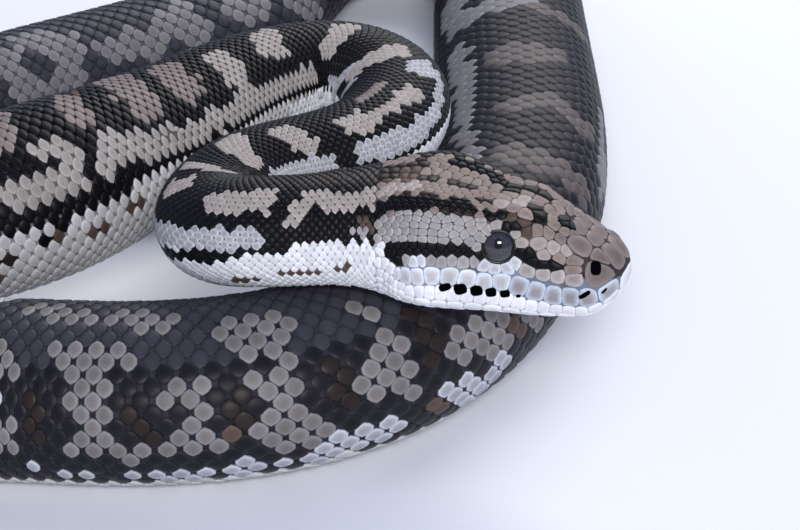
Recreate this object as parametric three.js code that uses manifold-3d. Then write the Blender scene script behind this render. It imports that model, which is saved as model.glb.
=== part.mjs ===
// A carpet python lying coiled on the floor, at rest, life size.
// Units are millimetres, +Z is up, and the origin is on the floor under the middle of the coil.
// The whole animal is one outline carried along one path. A point of its surface has a station,
// the distance along the path from the tip of the snout, and an angle round the section:
// 0 on the snake's right side, 90 degrees on its back, 180 on its left side, -90 on its belly.

import * as THREE from 'three';
import { mergeVertices } from 'three/addons/utils/BufferGeometryUtils.js';
import Module from 'manifold-3d';

const wasm = await Module();
wasm.setup();

// ---------------------------------------------------------------- driving dimensions

const CENTRE = [-59.1, 48.75];
const SEAM_GAP = 0.3;              // clearance where two lengths meet

const HEAD_END = 58;               // station where the head's own outline has run into the neck
const SNOUT_ROUND = 7;             // length over which the snout rounds off to its tip
const SNOUT_FLAT = 0.05;           // station of the foremost ring
const HEIGHT_RATIO = 0.88;         // height of the body over its width
const BELLY_FLAT = 0.93;           // share of the half height at which the belly is flat

const NECK_START = 50;
const VENT = 1080;                 // the tail starts here
const LONGEST_LENGTH = 110;        // no length of the body is longer than this
const LARGEST_TURN = 85;           // or turns by more than this, in degrees

const EYE_STATION = 24;
const EYE_ANGLE = 17;
const EYE_RADIUS = 3.9;
const EYE_VISIBLE_RADIUS = 3.3;    // radius of the round opening that the eye fills

const JAW_START = 2;
const JAW_END = 48;

const TRUNK_SIDES = 16;
const TAIL_SIDES = 12;
const HEAD_SIDES = 28;
const RING_LENGTH = 15;            // straight body: one ring for each of these
const RING_TURN = 16;              // bent body: one more ring for each of these, in degrees
const HEAD_RING_LENGTH = 2.6;
const PATH_STEP = 2;               // spacing of the points that the path is smoothed on
const SMOOTHING_PASSES = 24;

// Where the body lies: x, y, and how high its underside is off the floor.
const ROUTE = [
  // head and neck, resting on the front of the coil
  [45, -82, 34.6], [28, -75.8, 36.0], [11, -69.5, 36.7], [-3, -66, 36.5], [-15, -66.5, 36.0],
  [-28, -65.2, 34.9],
  // first bend, to the left, and back to the right
  [-37.2, -58.6, 31.2], [-39, -47, 29.2], [-33, -34.5, 31.2], [-20, -28, 32.2], [-8, -20.5, 32.4],
  // second bend, on the shoulder of the right side of the coil
  [-1, -6, 32.4], [-2.6, 12.5, 32.2], [-15, 22, 31],
  // long run down to the left
  [-34, 16, 27.8], [-54, -2.5, 21.6], [-70, -16.5, 16.6], [-87, -25.5, 13],
  // bend down to the floor
  [-105, -29, 10], [-123.4, -29.2, 7.4], [-142.4, -37, 4.6], [-150, -55.6, 2.4],
  [-142.4, -74.2, 1], [-123.4, -81.8, 0.2], [-102, -81, 0],
  // front of the coil
  [-81, -79, 0], [-60, -81, 0], [-40, -80, 0], [-22, -75, 0], [-6, -65, 0], [7, -50, 0],
  // right side of the coil
  [18, -27, 0], [26, 3, 0], [29, 38, 0], [29, 73, 0], [29, 108, 0],
  // bend at the back, and the back of the coil
  [29, 132, 0], [27.6, 153, 0], [20, 170, 0], [6, 180, 0], [-11, 179, 0], [-24, 168, 0],
  [-30.5, 151, 0], [-36.5, 130, 0], [-48, 111.5, 0], [-65, 98.5, 0], [-84, 87.5, 0],
  [-104, 76, 0], [-124, 64, 0],
  // left side, and in behind the upper run
  [-140, 50, 0], [-143, 33, 0], [-130, 21, 0], [-111, 20, 0], [-92, 27, 0], [-74, 35, 0],
  [-56, 39, 0],
  // tail, curled up in the middle
  [-38, 38, 0], [-20, 37, 0], [-6, 46, 0], [-2, 63, 0], [-8, 79, 0], [-22, 88, 0], [-38, 87, 0],
  [-47, 76, 0], [-46, 63, 0], [-35, 55, 0], [-24, 60, 0], [-23, 68, 0],
];

// Outline, each as [station, size].
const HALF_WIDTH = [
  [0, 7.6], [5, 8.2], [10, 8.8], [16, 9.8], [22, 11], [28, 12.8], [34, 15], [40, 16.4], [45, 16.2],
  [50, 14.6], [58, 13], [68, 12.5], [95, 12.8], [130, 12], [165, 12.6], [199, 14.2], [230, 17.2],
  [250, 19.9], [267, 21.6], [290, 21.8], [313, 20.9], [350, 19.2], [390, 19.6], [445, 20.4],
  [645, 20.8], [705, 20.2], [811, 18.7], [881, 17], [951, 15.2], [1011, 13.4], [1091, 10.9],
  [1151, 8.7], [1211, 6.2], [1261, 3.6], [1291, 1.2],
];
const HEAD_ABOVE = [
  [0, 4.6], [5, 5.4], [10, 7.4], [16, 9.8], [22, 11.2], [28, 11.8], [34, 12.4], [40, 12.9], [45, 12.7],
  [50, 12], [58, 11],
];
const HEAD_BELOW = [
  [0, 8.8], [5, 10], [10, 11.2], [20, 12.3], [32, 12.6], [42, 12.3], [50, 11.6], [58, 11],
];
// How square the section is above and below its widest level: 2 is an ellipse.
const SQUARE_ABOVE = [[0, 2.2], [8, 2.5], [20, 2.6], [40, 2.9], [50, 2.4], [62, 2]];
const SQUARE_BELOW = [[0, 2.2], [8, 3.2], [20, 3.8], [42, 3.4], [62, 2]];
// Height of the closed mouth over the axis of the head; behind the corner it runs down and out.
const MOUTH_HEIGHT = [
  [0, -4.6], [3, -5.6], [8, -6.8], [14, -6.6], [18, -5.8], [22, -4.8], [28, -3.9], [36, -3.2],
  [40, -3.6], [43, -6], [46, -9.6], [48.5, -12.2], [50, -14],
];
// Swellings and hollows of the head: size, station, reach along, angle, reach round, the same on
// both sides.
const HEAD_FORMS = [
  { form: 'brow ridge', size: 1.0, station: 21, along: 8, angle: 60, round: 26 },
  { form: 'swelling of the jaw muscle', size: 1.0, station: 39, along: 14, angle: 58, round: 34 },
  { form: 'hollow of the crown', size: -0.8, station: 36, along: 17, angle: 90, round: 26 },
  { form: 'hollow before the eye', size: -0.6, station: 13, along: 7, angle: 24, round: 20 },
  { form: 'hollow round the eye', size: -0.6, station: 24, along: 6, angle: 17, round: 22 },
];

// ---------------------------------------------------------------- outline

const radians = THREE.MathUtils.degToRad;

// A smooth function through [station, size] keys that never overshoots them.
function profile(keys) {
  const count = keys.length;
  const slopes = [];
  for (let i = 0; i < count - 1; i += 1) {
    slopes.push((keys[i + 1][1] - keys[i][1]) / (keys[i + 1][0] - keys[i][0]));
  }
  const tangents = keys.map((key, i) => {
    if (i === 0) return slopes[0];
    if (i === count - 1) return slopes[count - 2];
    const [before, after] = [slopes[i - 1], slopes[i]];
    return before * after > 0 ? (2 * before * after) / (before + after) : 0;
  });
  return (station) => {
    const s = THREE.MathUtils.clamp(station, keys[0][0], keys[count - 1][0]);
    let i = 0;
    while (i < count - 2 && s >= keys[i + 1][0]) i += 1;
    const span = keys[i + 1][0] - keys[i][0];
    const u = (s - keys[i][0]) / span;
    const rise = 3 * u * u - 2 * u * u * u;
    return keys[i][1] * (1 - rise) + keys[i + 1][1] * rise
      + span * (tangents[i] * (u ** 3 - 2 * u * u + u) + tangents[i + 1] * (u ** 3 - u * u));
  };
}

const widthAt = profile(HALF_WIDTH);
const headAbove = profile(HEAD_ABOVE);
const headBelow = profile(HEAD_BELOW);
const squareAbove = profile(SQUARE_ABOVE);
const squareBelow = profile(SQUARE_BELOW);
const mouthHeight = profile(MOUTH_HEIGHT);

function snoutRounding(station) {
  const share = THREE.MathUtils.clamp(station / SNOUT_ROUND, 0, 1);
  return Math.sqrt(1 - (1 - share) ** 2);
}

function bump(value, middle, reach) {
  const share = (value - middle) / reach;
  return Math.abs(share) < 1 ? Math.cos((Math.PI / 2) * share) ** 2 : 0;
}

// Side and height of the surface from the axis, before the mouth divides the head.
function outline(station, angle, scale = 1) {
  const isHead = station < HEAD_END;
  const half = widthAt(station);
  const rounding = snoutRounding(station) * scale;
  const above = rounding * (isHead ? headAbove(station) : HEIGHT_RATIO * half);
  const below = rounding * (isHead ? headBelow(station) : HEIGHT_RATIO * half);
  const [across, up] = [Math.cos(angle), Math.sin(angle)];
  const power = 2 / (up > 0 ? squareAbove(station) : squareBelow(station));
  let side = rounding * half * Math.sign(across) * Math.abs(across) ** power;
  let height = (up > 0 ? above : below) * Math.sign(up) * Math.abs(up) ** power;
  if (isHead) {
    const degrees = THREE.MathUtils.radToDeg(Math.asin(up));
    let swell = 0;
    for (const { size, station: middle, along, angle: level, round } of HEAD_FORMS) {
      swell += size * bump(station, middle, along) * bump(degrees, level, round);
    }
    const reach = Math.hypot(side, height);
    side *= 1 + swell / reach;
    height *= 1 + swell / reach;
  } else {
    height = Math.max(height, -BELLY_FLAT * HEIGHT_RATIO * half);
  }
  return [side, height];
}

// Half width of the head at the height of the mouth.
function lipSide(station) {
  const below = snoutRounding(station) * headBelow(station);
  const power = squareBelow(station);
  const level = THREE.MathUtils.clamp(-mouthHeight(station) / below, 0, 1);
  return snoutRounding(station) * widthAt(station) * (1 - level ** power) ** (1 / power);
}

function upperHeadOutline(station, angle, scale) {
  const [side, height] = outline(station, angle, scale);
  const floor = mouthHeight(station) + SEAM_GAP;
  if (height >= floor) return [side, height];
  const lip = lipSide(station);
  return [THREE.MathUtils.clamp(side, -lip, lip), floor];
}

function lowerJawOutline(station, angle, scale) {
  const [side, height] = outline(station, angle, scale);
  const roof = mouthHeight(station);
  if (height <= roof) return [side, height];
  const lip = lipSide(station);
  return [THREE.MathUtils.clamp(side, -lip, lip), roof];
}

// ---------------------------------------------------------------- path

// Points on the path, evenly spaced and then smoothed so that the bends have no corners.
function pathPoints() {
  const places = ROUTE.map(([x, y, lift]) => new THREE.Vector3(x - CENTRE[0], y - CENTRE[1], lift));
  const curve = new THREE.CatmullRomCurve3(places);
  curve.arcLengthDivisions = 4000;
  const points = curve.getSpacedPoints(Math.round(curve.getLength() / PATH_STEP));
  for (let pass = 0; pass < SMOOTHING_PASSES; pass += 1) {
    const before = points.map((point) => point.clone());
    for (let i = 1; i < points.length - 1; i += 1) {
      points[i].copy(before[i]).multiplyScalar(2).add(before[i - 1]).add(before[i + 1]);
      points[i].multiplyScalar(0.25);
    }
  }
  return points;
}

const path = pathPoints();
const stations = [0];
for (let i = 1; i < path.length; i += 1) stations.push(stations[i - 1] + path[i].distanceTo(path[i - 1]));
const TAIL_TIP = stations[stations.length - 1];

// The axis runs over the path by as much as lays the flat of the belly on it.
function axisAt(station) {
  const s = THREE.MathUtils.clamp(station, 0, TAIL_TIP);
  let low = 0;
  let high = stations.length - 1;
  while (high - low > 1) {
    const middle = (low + high) >> 1;
    if (stations[middle] <= s) low = middle;
    else high = middle;
  }
  const share = (s - stations[low]) / (stations[high] - stations[low]);
  const place = path[low].clone().lerp(path[high], share);
  place.z = Math.max(0, place.z) + BELLY_FLAT * HEIGHT_RATIO * widthAt(Math.max(s, HEAD_END));
  return place;
}

// Place on the axis, with the directions towards the tail, the right side and the back.
function frameAt(station) {
  const tailward = axisAt(station + 1.5).sub(axisAt(station - 1.5)).normalize();
  const right = new THREE.Vector3(0, 0, 1).cross(tailward).normalize();
  const up = tailward.clone().cross(right);
  return { place: axisAt(station), tailward, right, up };
}

// Scale is a little over 1 where a section is drawn with few sides, so that its flats and its
// corners lie equally far in and out of the true outline.
function surfacePoint(station, angle, shape, scale = 1) {
  const { place, right, up } = frameAt(station);
  const [side, height] = shape(station, angle, scale);
  return place.addScaledVector(right, side).addScaledVector(up, height);
}

function turnBetween(from, to) {
  return THREE.MathUtils.radToDeg(frameAt(from).tailward.angleTo(frameAt(to).tailward));
}

// ---------------------------------------------------------------- solids

// A cylinder bent along the body: each of its rings is one section of the outline.
function sweep(rings, sides, shape) {
  const geometry = new THREE.CylinderGeometry(1, 1, 1, sides, rings.length - 1);
  geometry.deleteAttribute('normal');
  geometry.deleteAttribute('uv');
  const position = geometry.attributes.position;
  const belly = -Math.PI / 2 + Math.PI / sides;
  const scale = 1 / Math.sqrt(Math.cos(Math.PI / sides));
  for (let i = 0; i < position.count; i += 1) {
    const [x, y, z] = [position.getX(i), position.getY(i), position.getZ(i)];
    const station = rings[Math.round((0.5 - y) * (rings.length - 1))];
    const isCentre = Math.hypot(x, z) < 0.5;
    let point;
    if (isCentre) {
      const back = shape(station, Math.PI / 2)[1];
      const under = shape(station, -Math.PI / 2)[1];
      const { place, up } = frameAt(station);
      point = place.addScaledVector(up, (back + under) / 2);
    } else {
      point = surfacePoint(station, belly - Math.atan2(x, z), shape, scale);
    }
    position.setXYZ(i, point.x, point.y, point.z);
  }
  return mergeVertices(geometry, 1e-4);
}

// Stations from one end to the other, closer together where the body bends.
function ringsBetween(from, to) {
  const count = Math.max(2, Math.round(to - from));
  const effort = [0];
  for (let i = 1; i <= count; i += 1) {
    const [a, b] = [from + ((to - from) * (i - 1)) / count, from + ((to - from) * i) / count];
    effort.push(effort[i - 1] + (b - a) / RING_LENGTH + turnBetween(a, b) / RING_TURN);
  }
  const rings = Math.max(2, Math.ceil(effort[count]));
  const result = [];
  for (let ring = 0; ring <= rings; ring += 1) {
    const wanted = (effort[count] * ring) / rings;
    const i = Math.min(count - 1, Math.max(0, effort.findIndex((sum) => sum > wanted) - 1));
    const isLast = ring === rings;
    const share = isLast ? 1 : (wanted - effort[i]) / (effort[i + 1] - effort[i]);
    const at = isLast ? count : i + share;
    result.push(from + ((to - from) * at) / count);
  }
  return result;
}

function evenRings(from, to, spacing) {
  const count = Math.round((to - from) / spacing);
  return Array.from({ length: count + 1 }, (_, i) => from + ((to - from) * i) / count);
}

// Rings of the head, crowded towards the rounded end of the snout.
function headRings() {
  const rounded = 8;
  const rings = [];
  for (let i = 0; i < rounded; i += 1) {
    rings.push(SNOUT_FLAT + (SNOUT_ROUND - SNOUT_FLAT) * (1 - Math.cos((Math.PI / 2) * (i / rounded))));
  }
  return rings.concat(evenRings(SNOUT_ROUND, NECK_START - SEAM_GAP, HEAD_RING_LENGTH));
}

function solidOf(geometry) {
  return new wasm.Manifold(new wasm.Mesh({
    numProp: 3,
    vertProperties: new Float32Array(geometry.attributes.position.array),
    triVerts: new Uint32Array(geometry.index.array),
  }));
}

function geometryOf(solid) {
  const mesh = solid.getMesh();
  const geometry = new THREE.BufferGeometry();
  geometry.setAttribute('position', new THREE.BufferAttribute(new Float32Array(mesh.vertProperties), 3));
  geometry.setIndex(new THREE.BufferAttribute(new Uint32Array(mesh.triVerts), 1));
  return geometry;
}

function ball(radius, place) {
  const geometry = new THREE.SphereGeometry(radius, 16, 10);
  geometry.deleteAttribute('normal');
  geometry.deleteAttribute('uv');
  geometry.translate(place.x, place.y, place.z);
  return mergeVertices(geometry, 1e-4);
}

// The eyeball's middle lies so deep that its socket opens with the visible radius.
function eyePlace(angle) {
  const [step, turn] = [1, radians(6)];
  const middle = surfacePoint(EYE_STATION, angle, outline);
  const along = surfacePoint(EYE_STATION + step, angle, outline)
    .sub(surfacePoint(EYE_STATION - step, angle, outline));
  const round = surfacePoint(EYE_STATION, angle + turn, outline)
    .sub(surfacePoint(EYE_STATION, angle - turn, outline));
  const outward = round.cross(along).normalize();
  if (outward.dot(middle.clone().sub(axisAt(EYE_STATION))) < 0) outward.negate();
  const socket = EYE_RADIUS + SEAM_GAP;
  return middle.addScaledVector(outward, -Math.sqrt(socket ** 2 - EYE_VISIBLE_RADIUS ** 2));
}

// ---------------------------------------------------------------- the animal

const SKIN = { roughness: 0.45, metalness: 0 };
const materials = {
  head: new THREE.MeshStandardMaterial({ color: 0x857a70, ...SKIN }),
  jaw: new THREE.MeshStandardMaterial({ color: 0xdde1e6, ...SKIN }),
  eye: new THREE.MeshStandardMaterial({ color: 0x2c2c32, roughness: 0.05, metalness: 0 }),
  neck: new THREE.MeshStandardMaterial({ color: 0x9a938e, ...SKIN }),
  trunk: new THREE.MeshStandardMaterial({ color: 0x3d3c42, ...SKIN }),
  tail: new THREE.MeshStandardMaterial({ color: 0x35343a, ...SKIN }),
};

const snake = new THREE.Group();

function addNode(name, geometry, material) {
  const mesh = new THREE.Mesh(geometry, material);
  mesh.name = name;
  snake.add(mesh);
}

function addHead() {
  let head = solidOf(sweep(headRings(), HEAD_SIDES, upperHeadOutline));
  const eyes = { eye_right: radians(EYE_ANGLE), eye_left: radians(180 - EYE_ANGLE) };
  for (const [name, angle] of Object.entries(eyes)) {
    const place = eyePlace(angle);
    head = head.subtract(solidOf(ball(EYE_RADIUS + SEAM_GAP, place)));
    addNode(name, ball(EYE_RADIUS, place), materials.eye);
  }
  addNode('head', geometryOf(head), materials.head);
}

// The jaw's rings are the head's own, so that the two meet evenly along the mouth.
function addLowerJaw() {
  const rings = headRings().filter((station) => station > JAW_START && station < JAW_END);
  addNode('lower_jaw', sweep(rings, HEAD_SIDES, lowerJawOutline), materials.jaw);
}

// Stations where one stretch of the body is parted into lengths.
function cutsBetween(from, to) {
  const cuts = [from];
  let turned = 0;
  for (let station = from + 1; station < to; station += 1) {
    turned += turnBetween(station - 1, station);
    const length = station - cuts[cuts.length - 1];
    if (turned > LARGEST_TURN || length > LONGEST_LENGTH) {
      cuts.push(station);
      turned = 0;
    }
  }
  cuts.push(to);
  return cuts;
}

function addLength(name, from, to, sides, material) {
  addNode(name, sweep(ringsBetween(from, to - SEAM_GAP), sides, outline), material);
}

function addBody() {
  const cuts = cutsBetween(NECK_START, VENT);
  addLength('neck', cuts[0], cuts[1], TRUNK_SIDES, materials.neck);
  for (let i = 1; i < cuts.length - 1; i += 1) {
    const name = `trunk_${String(i).padStart(2, '0')}`;
    addLength(name, cuts[i], cuts[i + 1], TRUNK_SIDES, materials.trunk);
  }
  const tailCuts = cutsBetween(VENT, TAIL_TIP);
  for (let i = 0; i < tailCuts.length - 1; i += 1) {
    addLength(`tail_${i + 1}`, tailCuts[i], tailCuts[i + 1], TAIL_SIDES, materials.tail);
  }
}

addHead();
addLowerJaw();
addBody();

export default snake;
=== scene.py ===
"""Looks of a coiled carpet python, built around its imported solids.

The animal is one outline carried along one path. A point of it has a station, the distance along
the path from the tip of the snout in millimetres, and an angle round the section in degrees: 0 on
the snake's right side, 90 on its back, 180 on its left side and -90 on its belly.
"""

import bpy
import numpy as np
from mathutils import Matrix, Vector
from mathutils.bvhtree import BVHTree


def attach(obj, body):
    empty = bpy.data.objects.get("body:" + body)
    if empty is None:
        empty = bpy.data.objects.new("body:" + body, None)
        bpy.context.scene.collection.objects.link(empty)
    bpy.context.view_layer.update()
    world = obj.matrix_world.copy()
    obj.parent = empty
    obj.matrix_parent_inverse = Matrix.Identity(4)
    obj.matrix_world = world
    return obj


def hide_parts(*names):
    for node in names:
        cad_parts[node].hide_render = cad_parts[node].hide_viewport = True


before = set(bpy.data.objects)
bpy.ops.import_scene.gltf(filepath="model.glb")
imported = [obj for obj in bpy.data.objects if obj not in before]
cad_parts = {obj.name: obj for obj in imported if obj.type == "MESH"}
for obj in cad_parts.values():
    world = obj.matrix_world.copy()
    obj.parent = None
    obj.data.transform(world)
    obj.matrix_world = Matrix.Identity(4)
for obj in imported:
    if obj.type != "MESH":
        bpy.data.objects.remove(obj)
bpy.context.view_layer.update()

bl_info = {
    "name": "Coiled python",
    "version": (1, 0, 0),
    "blender": (4, 5, 0),
    "location": "3D View > Sidebar > Python",
    "description": "Skin, scales, head shields and eyes of a coiled python",
    "category": "Object",
}

MM = 0.001
PAST_TAIL = 5000.0  # a station that the tail does not reach

# ------------------------------------------------------------------ outline of the animal

CENTRE = (-59.1, 48.75)
HEAD_END = 58.0
SNOUT_ROUND = 7.0
HEIGHT_RATIO = 0.88
BELLY_FLAT = 0.93
PATH_STEP = 2.0
SMOOTHING_PASSES = 24

EYE_STATION = 24.0
EYE_ANGLE = 17.0
EYE_RADIUS = 3.9
EYE_OPENING = 3.35
SEAM_GAP = 0.3

NAPE = 51.0  # the shields of the head end here and the rows of the body begin
NECK_END = 84.0
VENT = 1080.0
MID_BODY = 20.4  # half width at mid body, where the coat is deepest

ROUTE = [
    (45, -82, 34.6), (28, -75.8, 36.0), (11, -69.5, 36.7), (-3, -66, 36.5), (-15, -66.5, 36.0),
    (-28, -65.2, 34.9), (-37.2, -58.6, 31.2), (-39, -47, 29.2), (-33, -34.5, 31.2),
    (-20, -28, 32.2), (-8, -20.5, 32.4), (-1, -6, 32.4), (-2.6, 12.5, 32.2), (-15, 22, 31),
    (-34, 16, 27.8), (-54, -2.5, 21.6), (-70, -16.5, 16.6), (-87, -25.5, 13), (-105, -29, 10),
    (-123.4, -29.2, 7.4), (-142.4, -37, 4.6), (-150, -55.6, 2.4), (-142.4, -74.2, 1),
    (-123.4, -81.8, 0.2), (-102, -81, 0), (-81, -79, 0), (-60, -81, 0), (-40, -80, 0),
    (-22, -75, 0), (-6, -65, 0), (7, -50, 0), (18, -27, 0), (26, 3, 0), (29, 38, 0), (29, 73, 0),
    (29, 108, 0), (29, 132, 0), (27.6, 153, 0), (20, 170, 0), (6, 180, 0), (-11, 179, 0),
    (-24, 168, 0), (-30.5, 151, 0), (-36.5, 130, 0), (-48, 111.5, 0), (-65, 98.5, 0),
    (-84, 87.5, 0), (-104, 76, 0), (-124, 64, 0), (-140, 50, 0), (-143, 33, 0), (-130, 21, 0),
    (-111, 20, 0), (-92, 27, 0), (-74, 35, 0), (-56, 39, 0), (-38, 38, 0), (-20, 37, 0),
    (-6, 46, 0), (-2, 63, 0), (-8, 79, 0), (-22, 88, 0), (-38, 87, 0), (-47, 76, 0), (-46, 63, 0),
    (-35, 55, 0), (-24, 60, 0), (-23, 68, 0),
]
HALF_WIDTH = [
    (0, 7.6), (5, 8.2), (10, 8.8), (16, 9.8), (22, 11), (28, 12.8), (34, 15), (40, 16.4),
    (45, 16.2), (50, 14.6), (58, 13), (68, 12.5), (95, 12.8), (130, 12), (165, 12.6), (199, 14.2),
    (230, 17.2), (250, 19.9), (267, 21.6), (290, 21.8), (313, 20.9), (350, 19.2), (390, 19.6),
    (445, 20.4), (645, 20.8), (705, 20.2), (811, 18.7), (881, 17), (951, 15.2), (1011, 13.4),
    (1091, 10.9), (1151, 8.7), (1211, 6.2), (1261, 3.6), (1291, 1.2),
]
HEAD_ABOVE = [
    (0, 4.6), (5, 5.4), (10, 7.4), (16, 9.8), (22, 11.2), (28, 11.8), (34, 12.4), (40, 12.9),
    (45, 12.7), (50, 12), (58, 11),
]
HEAD_BELOW = [
    (0, 8.8), (5, 10), (10, 11.2), (20, 12.3), (32, 12.6), (42, 12.3), (50, 11.6), (58, 11),
]
SQUARE_ABOVE = [(0, 2.2), (8, 2.5), (20, 2.6), (40, 2.9), (50, 2.4), (62, 2)]
SQUARE_BELOW = [(0, 2.2), (8, 3.2), (20, 3.8), (42, 3.4), (62, 2)]
# Swellings of the head: size, station, reach along, angle, reach round.
HEAD_FORMS = [
    (1.0, 21, 8, 60, 26), (1.0, 39, 14, 58, 34), (-0.8, 36, 17, 90, 26), (-0.6, 13, 7, 24, 20),
    (-0.6, 24, 6, 17, 22),
]

# Length of one scale of the body by station, and number of rows of scales beside the belly.
SCALE_LENGTH = [
    (45, 1.45), (80, 1.5), (130, 1.7), (205, 1.85), (235, 1.95), (267, 2.35), (305, 2.7),
    (435, 3.5), (475, 4.1), (525, 4.4), (645, 4.2), (810, 4.1), (900, 3.95), (950, 3.6),
    (1080, 2.8), (1150, 2.2), (1210, 1.7), (1265, 1.1),
]
FIRST_ROWS = 52
# Stations where two rows end on each side, and how far they lie from the belly.
ROW_ENDS = [
    (122, 10), (240, 16), (323, 6), (373, 20), (850, 12), (975, 3), (1095, 18), (1155, 8),
    (1200, 22),
]
ROW_FADE = 9.0  # a row narrows to nothing from this far before its end to as far after it
BELLY_HALF_ANGLE = 33.0


def profile(keys):
    """Smooth function through (station, size) keys: cubic pieces whose slope at a key is the
    harmonic mean of the slopes beside it, and 0 where those differ in sign."""
    at, size = np.array(keys, float).T
    span = np.diff(at)
    slope = np.diff(size) / span
    same = slope[:-1] * slope[1:] > 0
    total = np.where(same, slope[:-1] + slope[1:], 1.0)
    inner = np.where(same, 2 * slope[:-1] * slope[1:] / total, 0.0)
    tangent = np.concatenate([slope[:1], inner, slope[-1:]])

    def value(station):
        s = np.clip(np.asarray(station, float), at[0], at[-1])
        i = np.clip(np.searchsorted(at, s, side="right") - 1, 0, len(span) - 1)
        u = (s - at[i]) / span[i]
        rise = 3 * u**2 - 2 * u**3
        bend = tangent[i] * (u**3 - 2 * u**2 + u) + tangent[i + 1] * (u**3 - u**2)
        return size[i] * (1 - rise) + size[i + 1] * rise + span[i] * bend

    return value


half_width = profile(HALF_WIDTH)
head_above = profile(HEAD_ABOVE)
head_below = profile(HEAD_BELOW)
square_above = profile(SQUARE_ABOVE)
square_below = profile(SQUARE_BELOW)
scale_length = profile(SCALE_LENGTH)


def unit(vectors):
    return vectors / np.maximum(np.linalg.norm(vectors, axis=-1, keepdims=True), 1e-9)


def bump(value, middle, reach):
    share = np.clip((value - middle) / reach, -1, 1)
    return np.cos(np.pi / 2 * share) ** 2


def smooth(value, low, high):
    share = np.clip((value - low) / (high - low), 0, 1)
    return share * share * (3 - 2 * share)


def path_points():
    """Centripetal Catmull-Rom curve through the route, spaced evenly and smoothed by passes of
    (before + 2 x point + after) / 4 with both ends kept."""
    keys = np.array(ROUTE, float) - (CENTRE[0], CENTRE[1], 0)
    keys = np.vstack([2 * keys[0] - keys[1], keys, 2 * keys[-1] - keys[-2]])
    u = np.linspace(0, 1, 40, endpoint=False)[:, None]
    dense = []
    for p0, p1, p2, p3 in zip(keys, keys[1:], keys[2:], keys[3:]):
        d0, d1, d2 = (np.sqrt(np.linalg.norm(v)) for v in (p1 - p0, p2 - p1, p3 - p2))
        t1 = ((p1 - p0) / d0 - (p2 - p0) / (d0 + d1) + (p2 - p1) / d1) * d1
        t2 = ((p2 - p1) / d1 - (p3 - p1) / (d1 + d2) + (p3 - p2) / d2) * d1
        square = -3 * p1 + 3 * p2 - 2 * t1 - t2
        cube = 2 * p1 - 2 * p2 + t1 + t2
        dense.append(p1 + t1 * u + square * u**2 + cube * u**3)
    dense = np.vstack([*dense, keys[-2:-1]])
    length = np.concatenate([[0], np.cumsum(np.linalg.norm(np.diff(dense, axis=0), axis=1))])
    even = np.linspace(0, length[-1], round(length[-1] / PATH_STEP) + 1)
    points = np.stack([np.interp(even, length, dense[:, k]) for k in range(3)], -1)
    for _ in range(SMOOTHING_PASSES):
        points[1:-1] = (points[:-2] + 2 * points[1:-1] + points[2:]) / 4
    points[:, 2] = np.maximum(points[:, 2], 0)
    return points


PATH = path_points()
STATIONS = np.concatenate([[0], np.cumsum(np.linalg.norm(np.diff(PATH, axis=0), axis=1))])
TAIL_TIP = STATIONS[-1]


def axis_at(station):
    s = np.clip(station, 0, TAIL_TIP)
    place = np.stack([np.interp(s, STATIONS, PATH[:, k]) for k in range(3)], -1)
    place[..., 2] += BELLY_FLAT * HEIGHT_RATIO * half_width(np.maximum(s, HEAD_END))
    return place


def frame_at(station):
    """Place on the axis with the directions towards the tail, the right side and the back."""
    tailward = unit(axis_at(station + 1.5) - axis_at(station - 1.5))
    right = unit(np.cross(np.array([0, 0, 1.0]), tailward))
    return axis_at(station), tailward, right, np.cross(tailward, right)


def outline(station, angle):
    """Side and height of the section: side = half width x cos^(2/p), height = half height x
    sin^(2/p), swollen by the forms of the head or cut off flat under the belly."""
    is_head = station < HEAD_END
    half = half_width(station)
    share = np.clip(station / SNOUT_ROUND, 0, 1)
    rounding = np.sqrt(np.maximum(1 - (1 - share) ** 2, 0))
    above = rounding * np.where(is_head, head_above(station), HEIGHT_RATIO * half)
    below = rounding * np.where(is_head, head_below(station), HEIGHT_RATIO * half)
    across, up = np.cos(np.radians(angle)), np.sin(np.radians(angle))
    power = 2 / np.where(up > 0, square_above(station), square_below(station))
    side = rounding * half * np.sign(across) * np.abs(across) ** power
    height = np.where(up > 0, above, below) * np.sign(up) * np.abs(up) ** power
    folded = np.degrees(np.arcsin(np.clip(up, -1, 1)))
    swell = sum(z * bump(station, s, l) * bump(folded, a, r) for z, s, l, a, r in HEAD_FORMS)
    factor = 1 + np.where(is_head, swell, 0) / np.maximum(np.hypot(side, height), 1e-6)
    height = np.where(is_head, height * factor, np.maximum(height, -BELLY_FLAT * below))
    return side * factor, height


def surface(station, angle):
    """Point of the outline = axis + side x right + height x up."""
    station, angle = np.broadcast_arrays(np.asarray(station, float), np.asarray(angle, float))
    place, _, right, up = frame_at(station)
    side, height = outline(station, angle)
    return place + side[..., None] * right + height[..., None] * up


def surface_normal(station, angle, step=0.2, turn=0.6):
    """Outward normal = change of the surface round the section x its change along the body."""
    station = np.maximum(station, step + 0.05)
    along = surface(station + step, angle) - surface(station - step, angle)
    around = surface(station, angle + turn) - surface(station, angle - turn)
    return unit(np.cross(around, along))


def coat_depth(station):
    """Depth of the scales over the skin: thicker where the body is thicker."""
    return settings().scale_depth / MM * (0.45 + 0.55 * half_width(station) / MID_BODY)


def settings():
    return bpy.context.scene.python_coat


# ------------------------------------------------------------------ markings

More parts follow.
